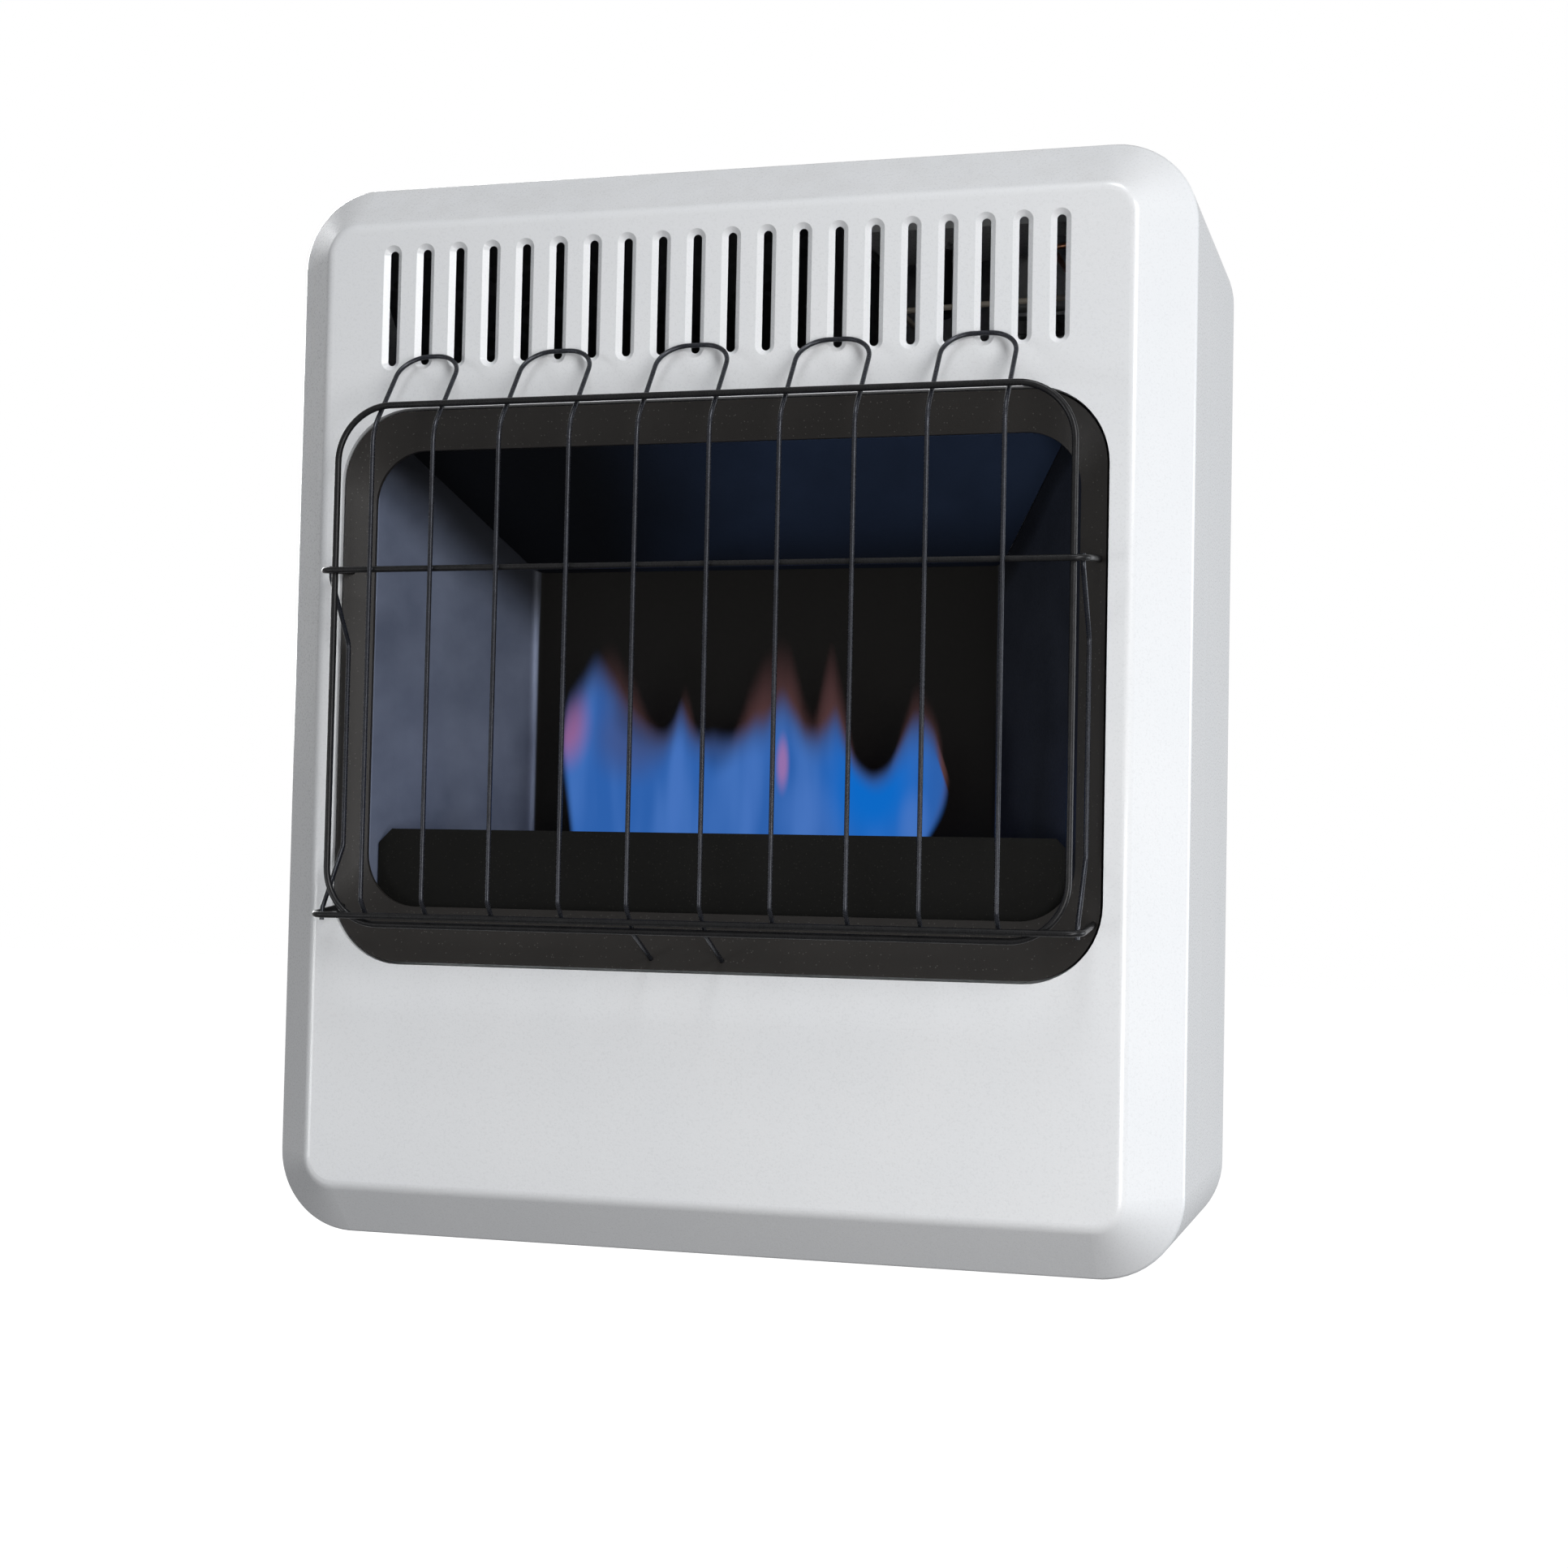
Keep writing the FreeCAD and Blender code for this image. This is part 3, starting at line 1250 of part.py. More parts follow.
def thermostat_capillary():
    """The bulb's thin tube, up beside the supply pipe to the valve's right side."""
    lane = capillary_lane_x()
    top = probe_port_z()
    end_x = knob_x + valve_w / 2
    places = [point(bulb_x + bulb_l, bulb_set(), bulb_z), point(lane, bulb_set(), bulb_z),
              point(lane, control_set, bulb_z), point(lane, control_set, top), point(end_x, control_set, top)]
    return rod(places, capillary_r, [lead_bend_r, lead_bend_r, lead_bend_r])


def capillary_lane_x():
    """The capillary rises to the right of the supply pipe."""
    return regulator_x + supply_r + 2 * side_line_gap


def rear_heat_shield():
    """A shallow tray in front of the back panel, with an air gap behind it."""
    half = heat_shield_w / 2
    low, high = heat_shield_low_z, heat_shield_high_z
    plate = box(-half, half, heat_shield_set, heat_shield_set + sheet_t, low, high)
    flanges = [box(-half, -half + sheet_t, heat_shield_set, back_panel_set, low, high),
               box(half - sheet_t, half, heat_shield_set, back_panel_set, low, high)]
    return plate.fuse(flanges)


def top_deflector():
    """The sheet that turns the hot air forward to the slots, left of the controls."""
    top = cabinet_h - 2 * sheet_t - 2 * seat_gap
    far = back_panel_set
    skew = sheet_t * math.sqrt(2)
    low = [point(0, far, deflector_back_low_z), point(0, far, deflector_back_high_z),
           point(0, deflector_front_set, top), point(0, deflector_front_set - deflector_front_flange, top)]
    high = [point(0, deflector_front_set - deflector_front_flange, top - sheet_t),
            point(0, deflector_front_set - sheet_t / 2, top - sheet_t),
            point(0, far - sheet_t, deflector_back_high_z - skew / 2),
            point(0, far - sheet_t, deflector_back_low_z)]
    profile = low + high
    right = control_x - tray_w / 2 - 2 * tray_rim_w
    left = -half_w
    sheet = Part.Face(Part.makePolygon(profile + [profile[0]])).extrude(V(right - left, 0, 0))
    sheet.translate(V(left, 0, 0))
    screws = [upright(screw_r, 2 * cut_over, x, cover_screw_set(), top - cut_over)
              for x in (-cover_screw_x, 0)]
    return sheet.common(inside_cabinet()).cut(screws)


def control_heat_shield():
    """A shelf and side wall that keep the hot air off the valve."""
    left = control_x - tray_w / 2 - tray_rim_w
    right = side_lane_x - 2 * lead_bend_r
    near, far = control_shield_front_set, back_panel_set - bracket_t
    top = tray_floor_z - sheet_t - seat_gap
    shelf = box(left, right, near, far, control_shield_z, control_shield_z + sheet_t)
    wall = box(left, left + sheet_t, near, far, control_shield_z, top)
    hole = upright(supply_r + hook_clear, 2 * cut_over, valve_port_x(valve_inlet_share), control_set,
                   control_shield_z - cut_over)
    return shelf.fuse(wall).cut(hole)


def firebox_bracket(hand):
    """A channel between the firebox's back and the rear heat shield."""
    x = hand * firebox_bracket_x
    half = firebox_bracket_w / 2
    near = firebox_back_set + seat_gap
    far = heat_shield_set
    low, high = firebox_bracket_low_z, firebox_bracket_high_z
    channel = box(x - half, x + half, near, far, low, high)
    room = box(x - half + sheet_t, x + half - sheet_t, near + sheet_t, far + cut_over,
               low - cut_over, high + cut_over)
    feet = [box(x - half - shield_foot, x - half, far - sheet_t, far, low, high),
            box(x + half, x + half + shield_foot, far - sheet_t, far, low, high)]
    return channel.cut(room).fuse(feet)


def wall_bracket():
    """The strip on the wall: screw holes, and two hooks that reach through the back panel."""
    near = wall_to_panel - bracket_t
    half = wall_bracket_w / 2
    high = wall_bracket_low_z + wall_bracket_h
    plate = box(-half, half, near, wall_to_panel, wall_bracket_low_z, high)
    lip_far = back_panel_set - seat_gap
    parts = []
    for hand in (-1, 1):
        x = hand * hook_spacing / 2
        low_x, high_x = x - hook_w / 2, x + hook_w / 2
        parts.append(box(low_x, high_x, lip_far - bracket_t, near, hook_z, hook_z + bracket_t))
        parts.append(box(low_x, high_x, lip_far - bracket_t, lip_far, hook_z, hook_z + bracket_t + hook_up))
    holes = [backward(wall_hole_r, 2 * cut_over, x, near - cut_over, z) for x, z in wall_hole_places()]
    return plate.fuse(parts).cut(holes)


def wall_hole_places():
    """The wall bracket's four screw holes."""
    middle = wall_bracket_low_z + wall_bracket_h / 2
    return [(x_hand * wall_hole_spacing_x / 2, middle + z_hand * wall_hole_spacing_z / 2)
            for x_hand in (-1, 1) for z_hand in (-1, 1)]


def wall_spacers():
    """Two feet that hold the heater's lower back off the wall."""
    feet = []
    for hand in (-1, 1):
        near = back_panel_set + sheet_t
        foot = backward(spacer_r, wall_to_panel - near, hand * spacer_x, near, spacer_z)
        rim = [e for e in foot.Edges if abs(e.BoundBox.YMin - wall_y) < spacer_r / 50]
        feet.append(foot.makeFillet(spacer_r / 6, rim))
    return Part.makeCompound(feet)


def guard_frame():
    """The outer wire: a closed rectangle with round corners, in two halves that meet at the middle."""
    half = guard_frame_w / 2
    front = -guard_frame_set
    places = [point(0, front, guard_frame_high_z), point(half, front, guard_frame_high_z),
              point(half, front, guard_frame_low_z), point(0, front, guard_frame_low_z)]
    right = rod(places, frame_rod_r, guard_frame_corner_r)
    left = right.mirror(V(0, 0, 0), V(1, 0, 0))
    return right.fuse(left).removeSplitter()


def guard_bar_places(z):
    """A cross bar's places, from the left end in the bezel to the right one."""
    inside = bezel_front_set + bezel_dish_deep
    x = guard_end_x()
    rise = z + bar_end_rise
    return [point(-x, inside, rise), point(-x, -guard_bar_set, z), point(x, -guard_bar_set, z),
            point(x, inside, rise)]


def guard_bar(z):
    """A cross bar whose ends bend back into the bezel."""
    return rod(guard_bar_places(z), bar_rod_r, bar_bend_r)


def lean_back(deg, rod_r):
    """How far behind a rod's centre a leaning wire's centre passes it, at the rod's height."""
    return (wire_rod_r + rod_r + weld_gap) / math.cos(math.radians(deg))


def hairpin_legs(number):
    """The x of a hairpin's two legs; the first one's left leg is bent in."""
    middle = hairpin_shift + (number - (hairpin_count - 1) / 2) * hairpin_pitch
    left = middle - hairpin_w / 2
    if number == 0:
        left += first_leg_in
    return left, middle + hairpin_w / 2


def leg_end(x):
    """A leg's low end, which leans back behind the low bar."""
    slope = math.tan(math.radians(leg_low_lean_deg))
    back = -guard_bar_set + lean_back(leg_low_lean_deg, bar_rod_r)
    turn_z = low_bar_z + (back + guard_wire_set) / slope
    return [point(x, back, low_bar_z), point(x, -guard_wire_set, turn_z)]


def leg_foot(x):
    """A leg that goes on behind the frame's low run and into the bezel."""
    end, turn = leg_end(x)
    low_z = guard_frame_low_z - wire_rod_r
    back = end.y - panel_y + (low_bar_z - low_z) * math.tan(math.radians(leg_low_lean_deg))
    inside = bezel_front_set + bezel_dish_deep
    end_z = low_z - (inside - back) / math.tan(math.radians(foot_lean_deg))
    return [point(x, inside, end_z), point(x, back, low_z), turn]


def hairpin(number):
    """Two legs over the mid bar that lean back to the panel and join across its face."""
    left, right = hairpin_legs(number)
    slope = math.tan(math.radians(hairpin_lean_deg))
    rest = wire_rod_r + weld_gap
    bend_z = guard_frame_high_z - (guard_wire_set - guard_frame_set + hairpin_frame_gap
                                  + lean_back(hairpin_lean_deg, frame_rod_r)) / slope
    top_z = bend_z + (guard_wire_set - rest) / slope
    ends = leg_foot if number == hairpin_count // 2 else leg_end
    places = ends(left)
    places += [point(left, -guard_wire_set, bend_z), point(left, -rest, top_z), point(right, -rest, top_z),
               point(right, -guard_wire_set, bend_z)]
    places += list(reversed(ends(right)))
    low_bends = [foot_bend_r] * (len(ends(left)) - 1)
    bends = low_bends + [hairpin_lean_r, hairpin_corner_r, hairpin_corner_r, hairpin_lean_r] + low_bends
    return rod(places, wire_rod_r, bends)


def guard_side_wire(hand):
    """A wire between the bars' bent ends, bowed back towards the bezel."""
    x = hand * (guard_end_x() - bar_rod_r - wire_rod_r - weld_gap)
    near = -guard_frame_set + side_wire_in
    far = near + side_wire_bow
    reach = bar_rod_r + wire_rod_r
    places = [point(x, near, mid_bar_z + reach), point(x, near, mid_bar_z - reach),
              point(x, far, mid_bar_z - side_wire_bow_h), point(x, far, low_bar_z + side_wire_bow_h),
              point(x, near, low_bar_z + reach), point(x, near, low_bar_z - reach)]
    tight = side_wire_bend_r / 2
    return rod(places, wire_rod_r, [tight, side_wire_bend_r, side_wire_bend_r, tight])


for name, shape in (
    ("front_panel", front_panel()),
    ("window_bezel", window_bezel()),
    ("rear_casing", rear_casing()),
    ("back_panel", back_panel()),
    ("back_panel_screws", back_panel_screws()),
    ("cover_screws", cover_screws()),
    ("firebox_wrap", firebox_wrap()),
    ("firebox_ceiling", firebox_ceiling()),
    ("base_shelf", base_shelf()),
    ("burner_shield", burner_shield()),
    ("burner_tube", burner_tube()),
    ("burner_saddles", burner_saddles()),
    ("orifice_bracket", orifice_bracket()),
    ("orifice_fitting", orifice_fitting()),
    ("pilot_bracket", pilot_bracket()),
    ("pilot_burner", pilot_burner()),
    ("pilot_electrode", pilot_electrode()),
    ("thermocouple", thermocouple()),
    ("gas_valve", gas_valve()),
    ("valve_bracket", valve_bracket()),
    ("control_tray", control_tray()),
    ("stem_collar", stem_collar()),
    ("valve_stem", valve_stem()),
    ("control_knob", control_knob()),
    ("igniter_body", igniter_body()),
    ("igniter_nut", igniter_nut()),
    ("igniter_button", igniter_button()),
    ("regulator", regulator()),
    ("inlet_fitting", inlet_fitting()),
    ("supply_line", supply_line()),
    ("burner_line", burner_line()),
    ("pilot_line", pilot_line()),
    ("thermocouple_lead", thermocouple_lead()),
    ("igniter_lead", igniter_lead()),
    ("thermostat_bulb", thermostat_bulb()),
    ("bulb_clips", bulb_clips()),
    ("thermostat_capillary", thermostat_capillary()),
    ("valve_screws", valve_screws()),
    ("rear_heat_shield", rear_heat_shield()),
    ("top_deflector", top_deflector()),
    ("control_heat_shield", control_heat_shield()),
    ("firebox_bracket_left", firebox_bracket(-1)),
    ("firebox_bracket_right", firebox_bracket(1)),
    ("wall_bracket", wall_bracket()),
    ("wall_spacers", wall_spacers()),
    ("guard_frame", guard_frame()),
    ("guard_mid_bar", guard_bar(mid_bar_z)),
    ("guard_bottom_bar", guard_bar(low_bar_z)),
    ("guard_side_wire_left", guard_side_wire(-1)),
    ("guard_side_wire_right", guard_side_wire(1)),
):
    write(name, shape)

for number in range(hairpin_count):
    write("guard_hairpin_" + str(number + 1), hairpin(number))
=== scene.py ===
"""Looks for a ventless gas heater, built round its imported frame. Lengths are in metres.

Each sub-assembly of the heater is a class that dresses the pieces it has in the frame and builds the
small pieces that the frame leaves out: flames, weld nuggets, screw heads and the knob's mark.
"""

from __future__ import annotations

import logging
import math
from dataclasses import dataclass, field
from enum import Enum
from typing import Any, Callable, Sequence

import bmesh
import bpy
from mathutils import Matrix, Vector

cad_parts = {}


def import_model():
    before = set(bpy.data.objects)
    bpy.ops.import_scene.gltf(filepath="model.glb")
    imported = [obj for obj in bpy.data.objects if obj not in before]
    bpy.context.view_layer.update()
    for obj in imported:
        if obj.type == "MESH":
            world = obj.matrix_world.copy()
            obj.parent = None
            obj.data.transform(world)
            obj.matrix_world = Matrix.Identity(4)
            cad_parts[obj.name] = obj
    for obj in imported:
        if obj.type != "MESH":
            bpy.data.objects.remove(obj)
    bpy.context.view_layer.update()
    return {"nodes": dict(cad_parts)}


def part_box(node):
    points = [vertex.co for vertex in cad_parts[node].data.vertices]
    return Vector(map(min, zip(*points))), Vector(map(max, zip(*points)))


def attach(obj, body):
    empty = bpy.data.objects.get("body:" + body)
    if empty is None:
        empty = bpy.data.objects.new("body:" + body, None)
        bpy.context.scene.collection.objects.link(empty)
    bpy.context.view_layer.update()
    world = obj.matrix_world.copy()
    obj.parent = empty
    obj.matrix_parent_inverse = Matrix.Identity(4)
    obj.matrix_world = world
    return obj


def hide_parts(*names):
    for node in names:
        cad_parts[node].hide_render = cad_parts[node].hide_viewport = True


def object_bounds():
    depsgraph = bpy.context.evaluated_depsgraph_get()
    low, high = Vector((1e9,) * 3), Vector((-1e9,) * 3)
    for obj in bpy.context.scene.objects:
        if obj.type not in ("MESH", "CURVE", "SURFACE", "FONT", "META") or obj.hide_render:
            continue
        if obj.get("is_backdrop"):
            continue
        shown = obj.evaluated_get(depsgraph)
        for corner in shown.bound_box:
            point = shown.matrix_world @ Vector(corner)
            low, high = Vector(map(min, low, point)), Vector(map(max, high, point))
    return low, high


LOG = logging.getLogger("heater")
Colour = tuple[float, float, float]
Socket = bpy.types.NodeSocket
Inputs = dict[str, Socket]
ROOT_BODY = "heater"
MM = 0.001
MERGE_GAP = 0.001 * MM
WHITE: Colour = (1.0, 1.0, 1.0)
# The firebox's ceiling slants: at the depth y its underside is at CEILING_LEVEL - CEILING_FALL * y.
CEILING_LEVEL = 0.399
CEILING_FALL = 0.795


class Slot(Enum):
    """The record's material slots that the new pieces are passed with; nothing here assigns them."""

    BURNER = "burner_steel"
    SCREW = "zinc_screw"
    CERAMIC = "ceramic_white"
    WIRE = "guard_wire"


class NodeSheet:
    """Adds and joins the nodes of one node tree."""

    # A Mix node has sockets for every type: these are its share, its two colours and their mixture.
    MIX_INPUTS = (0, 6, 7)
    MIX_OUTPUT = 2

    def __init__(self, tree: bpy.types.NodeTree) -> None:
        """Takes the tree that the nodes go into."""
        self.tree = tree

    def add(self, kind: str, inputs: dict[str, Any] | None = None, **settings: Any) -> bpy.types.Node:
        """Adds one node.

        Args:
            kind: The node's type name.
            inputs: A value, or a socket to link from, for each named input.
            **settings: The node's own settings.

        Returns:
            The new node.
        """
        node = self.tree.nodes.new(kind)
        for name, value in settings.items():
            setattr(node, name, value)
        for name, value in (inputs or {}).items():
            self.feed(node.inputs[name], value)
        return node

    def in_order(self, kind: str, *values: Any, **settings: Any) -> bpy.types.Node:
        """Adds one node and feeds its inputs in their order.

        Args:
            kind: The node's type name.
            *values: A value, or a socket to link from, for each input.
            **settings: The node's own settings.

        Returns:
            The new node.
        """
        node = self.add(kind, **settings)
        for socket, value in zip(node.inputs, values):
            self.feed(socket, value)
        return node

    def feed(self, socket: Socket, value: Any) -> None:
        """Gives a socket its value, or links it where the value is a socket.

        Args:
            socket: The input that is fed.
            value: A number, a colour, or a socket to link from.
        """
        if isinstance(value, Socket):
            self.tree.links.new(value, socket)
        elif isinstance(value, tuple) and len(value) == 3 and socket.type == "RGBA":
            socket.default_value = (*value, 1.0)
        else:
            socket.default_value = value

    def place(self) -> Socket:
        """The object coordinates of a point."""
        return self.add("ShaderNodeTexCoord").outputs["Object"]

    def axes(self, vector: Socket) -> tuple[Socket, ...]:
        """The three parts of a vector."""
        return tuple(self.add("ShaderNodeSeparateXYZ", {"Vector": vector}).outputs)

    def noise(self, place: Socket, scale: Any, detail: float) -> Socket:
        """A cloudy value that goes up and down from point to point."""
        given = {"Vector": place, "Scale": scale, "Detail": detail}
        return self.add("ShaderNodeTexNoise", given).outputs["Fac"]

    def math(self, operation: str, *values: Any, clamp: bool = False) -> Socket:
        """Works out a value from others, and keeps it from 0 to 1 where it is clamped."""
        return self.in_order("ShaderNodeMath", *values, operation=operation, use_clamp=clamp).outputs[0]

    def mix(self, share: Any, first: Any, second: Any) -> Socket:
        """Mixes two colours.

        Args:
            share: How much of the second colour shows, as a number or a socket.
            first: The first colour.
            second: The second colour.

        Returns:
            The result's socket.
        """
        node = self.add("ShaderNodeMix", data_type="RGBA")
        for number, value in zip(self.MIX_INPUTS, (share, first, second)):
            self.feed(node.inputs[number], value)
        return node.outputs[self.MIX_OUTPUT]

    def span(self, value: Any, low: Any, high: Any, to_low: float = 0.0, to_high: float = 1.0) -> Socket:
        """Maps a value smoothly from one range to another.

        Args:
            value: The socket that is mapped.
            low: Where its range starts, as a number or a socket.
            high: Where its range ends, as a number or a socket.
            to_low: What the start gives.
            to_high: What the end gives.

        Returns:
            The result's socket.
        """
        given = {"Value": value, "From Min": low, "From Max": high, "To Min": to_low, "To Max": to_high}
        return self.add("ShaderNodeMapRange", given, interpolation_type="SMOOTHSTEP").outputs[0]


def emptied(owner: bpy.types.Material | bpy.types.World) -> NodeSheet:
    """Empties the node tree of a material or a world.

    Args:
        owner: The material or the world.

    Returns:
        Its nodes.
    """
    owner.use_nodes = True
    owner.node_tree.nodes.clear()
    return NodeSheet(owner.node_tree)


class Effects:
    """The surface effects that more than one finish uses, each a node group that is built once."""

    NOISE_MIDDLE = 0.5
    FINE_STEP = 3.7
    DUST_SLOPE = (0.3, 1.0)
    DUST_PATCHES = (0.35, 0.7)
    FACET_SPREAD = 0.8
    FACET_LOW = 0.1
    CEILING_SHADE_SCALE = 18.0
    SPECK_EDGE = (0.1, 0.3)

    def __init__(self) -> None:
        """Builds every group."""
        self.drift = self._group("tone_drift", {"Scale": 12.0, "Contrast": 2.0}, "Mask", self._drift)
        self.grain = self._group("fine_grain", {"Scale": 900.0, "Fine Share": 0.35}, "Height", self._grain)
        self.dust = self._group("settled_dust", {"Scale": 55.0, "Amount": 0.3}, "Mask", self._dust)
        self.spangle = self._group("zinc_spangle", {"Scale": 120.0}, "Mask", self._spangle)
        # Painted shade that rises under the slanted ceiling.
        self.ceiling_shade = self._group(
            "painted_ceiling_shade", {"Low": 0.2, "High": 0.4, "Ragged": 0.1, "Fall": 0.0}, "Mask", self._ceiling_shade)
        self.specks = self._group("dark_specks", {"Scale": 260.0, "Amount": 0.1}, "Mask", self._specks)

    @staticmethod
    def _group(
        name: str,
        inputs: dict[str, float],
        output: str,
        fill: Callable[[NodeSheet, Inputs], Socket],
    ) -> bpy.types.NodeTree:
        """Makes one group.

        Args:
            name: The group's name.
            inputs: Its inputs and their first values.
            output: The name of its one output.
            fill: Adds the nodes and returns the socket that the output takes.

        Returns:
            The group's tree.
        """
        tree = bpy.data.node_groups.new(name, "ShaderNodeTree")
        for title, value in inputs.items():
            socket = tree.interface.new_socket(title, in_out="INPUT", socket_type="NodeSocketFloat")
            socket.default_value = value
        tree.interface.new_socket(output, in_out="OUTPUT", socket_type="NodeSocketFloat")
        sheet = NodeSheet(tree)
        entry = sheet.add("NodeGroupInput")
        leave = sheet.add("NodeGroupOutput")
        sheet.feed(leave.inputs[0], fill(sheet, {title: entry.outputs[title] for title in inputs}))
        return tree

    @classmethod
    def _drift(cls, sheet: NodeSheet, given: Inputs) -> Socket:
        """Slow, cloudy changes of tone.

        Args:
            sheet: The group's nodes.
            given: The group's inputs by name.

        Returns:
            The result's socket.
        """
        noise = sheet.noise(sheet.place(), given["Scale"], detail=3.0)
        centred = sheet.math("SUBTRACT", noise, cls.NOISE_MIDDLE)
        return sheet.math("MULTIPLY_ADD", centred, given["Contrast"], cls.NOISE_MIDDLE, clamp=True)

    @classmethod
    def _grain(cls, sheet: NodeSheet, given: Inputs) -> Socket:
        """The small unevenness of a sprayed or pressed surface.

        Args:
            sheet: The group's nodes.
            given: The group's inputs by name.

        Returns:
            The result's socket.
        """
        place = sheet.place()
        coarse = sheet.noise(place, given["Scale"], detail=2.0)
        fine = sheet.noise(place, sheet.math("MULTIPLY", given["Scale"], cls.FINE_STEP), detail=1.0)
        return sheet.math("MULTIPLY_ADD", fine, given["Fine Share"], coarse)

    @classmethod
    def _dust(cls, sheet: NodeSheet, given: Inputs) -> Socket:
        """Dust that lies on what faces up.

        Args:
            sheet: The group's nodes.
            given: The group's inputs by name.

        Returns:
            The result's socket.
        """
        _, _, up = sheet.axes(sheet.add("ShaderNodeTexCoord").outputs["Normal"])
        patchy = sheet.span(sheet.noise(sheet.place(), given["Scale"], detail=4.0), *cls.DUST_PATCHES)
        lying = sheet.math("MULTIPLY", sheet.span(up, *cls.DUST_SLOPE), patchy)
        return sheet.math("MULTIPLY", lying, given["Amount"], clamp=True)

    @classmethod
    def _spangle(cls, sheet: NodeSheet, given: Inputs) -> Socket:
        """The crystal facets of zinc-coated sheet.

        Args:
            sheet: The group's nodes.
            given: The group's inputs by name.

        Returns:
            The result's socket.
        """
        cells = sheet.add("ShaderNodeTexVoronoi", {"Vector": sheet.place(), "Scale": given["Scale"]})
        tone = sheet.add("ShaderNodeSeparateColor", {"Color": cells.outputs["Color"]}).outputs["Red"]
        return sheet.math("MULTIPLY_ADD", tone, cls.FACET_SPREAD, cls.FACET_LOW)

    @classmethod
    def _ceiling_shade(cls, sheet: NodeSheet, given: Inputs) -> Socket:
        """Painted shade that grows with height, and with depth where it has a fall, with a ragged edge.

        Args:
            sheet: The group's nodes.
            given: The group's inputs by name.

        Returns:
            The result's socket.
        """
        place = sheet.place()
        _, y, z = sheet.axes(place)
        height = sheet.math("MULTIPLY_ADD", y, given["Fall"], z)
        stray = sheet.math("SUBTRACT", sheet.noise(place, cls.CEILING_SHADE_SCALE, detail=3.0), cls.NOISE_MIDDLE)
        level = sheet.math("MULTIPLY_ADD", stray, given["Ragged"], height)
        return sheet.span(level, given["Low"], given["High"])

    @classmethod
    def _specks(cls, sheet: NodeSheet, given: Inputs) -> Socket:
        """Scattered small specks.

        Args:
            sheet: The group's nodes.
            given: The group's inputs by name.

        Returns:
            The result's socket.
        """
        cells = sheet.add("ShaderNodeTexVoronoi", {"Vector": sheet.place(), "Scale": given["Scale"]})
        near = sheet.span(cells.outputs["Distance"], *cls.SPECK_EDGE, 1.0, 0.0)
        pick = sheet.add("ShaderNodeSeparateColor", {"Color": cells.outputs["Color"]}).outputs["Green"]
        few = sheet.math("GREATER_THAN", given["Amount"], pick)
        return sheet.math("MULTIPLY", near, few)


@dataclass(frozen=True)
class Finish:
    """What every finish has: its name, two tones that it drifts between, its gloss and its grain."""

    GRAIN_SPAN = (0.3, 1.0)

    name: str
    tone: Colour
    second_tone: Colour
    roughness: float
    metallic: float = 0.0
    roughness_spread: float = 0.08
    drift_scale: float = 14.0
    grain_scale: float = 900.0
    grain_depth: float = 0.00004
    dust: float = 0.0
    dust_tone: Colour = (0.42, 0.40, 0.37)
    coat: float = 0.0
    coat_roughness: float = 0.1
    specular: float = 0.5

    def material(self, effects: Effects) -> bpy.types.Material:
        """Builds the finish as a material.

        Args:
            effects: The shared node groups.

        Returns:
            The material.
        """
        made = bpy.data.materials.new(self.name)
        sheet = emptied(made)
        shader = sheet.add("ShaderNodeBsdfPrincipled", {
            "Roughness": self.roughness,
            "Metallic": self.metallic,
            "Coat Weight": self.coat,
            "Coat Roughness": self.coat_roughness,
            "Specular IOR Level": self.specular,
        })
        sheet.add("ShaderNodeOutputMaterial", {"Surface": shader.outputs[0]}, is_active_output=True)
        drift = self.effect(sheet, effects.drift, Scale=self.drift_scale)
        grain = self.effect(sheet, effects.grain, Scale=self.grain_scale)
        tone = self.paint(sheet, effects, sheet.mix(drift, self.tone, self.second_tone))
        if self.dust:
            settled = self.effect(sheet, effects.dust, Amount=self.dust)
            tone = sheet.mix(settled, tone, self.dust_tone)
        sheet.feed(shader.inputs["Base Color"], tone)
        low, high = self.roughness - self.roughness_spread, self.roughness + self.roughness_spread
        sheet.feed(shader.inputs["Roughness"], sheet.span(grain, *self.GRAIN_SPAN, low, high))
        height = self.relief(sheet, effects, grain)
        bump = sheet.add("ShaderNodeBump", {"Height": height, "Distance": self.grain_depth})
        sheet.feed(shader.inputs["Normal"], bump.outputs["Normal"])
        return made

    @staticmethod
    def effect(sheet: NodeSheet, group: bpy.types.NodeTree, **values: float) -> Socket:
        """Places a shared group with its own values.

        Args:
            sheet: The material's nodes.
            group: The shared group.
            **values: Its inputs, with an underscore for each space in a name.

        Returns:
            The group's output.
        """
        node = sheet.add("ShaderNodeGroup", node_tree=group)
        for name, value in values.items():
            sheet.feed(node.inputs[name.replace("_", " ")], value)
        return node.outputs[0]

    def paint(self, sheet: NodeSheet, effects: Effects, tone: Socket) -> Socket:
        """Lets a finish work further on its tone."""
        return tone

    def relief(self, sheet: NodeSheet, effects: Effects, grain: Socket) -> Socket:
        """Lets a finish work further on its relief."""
        return grain


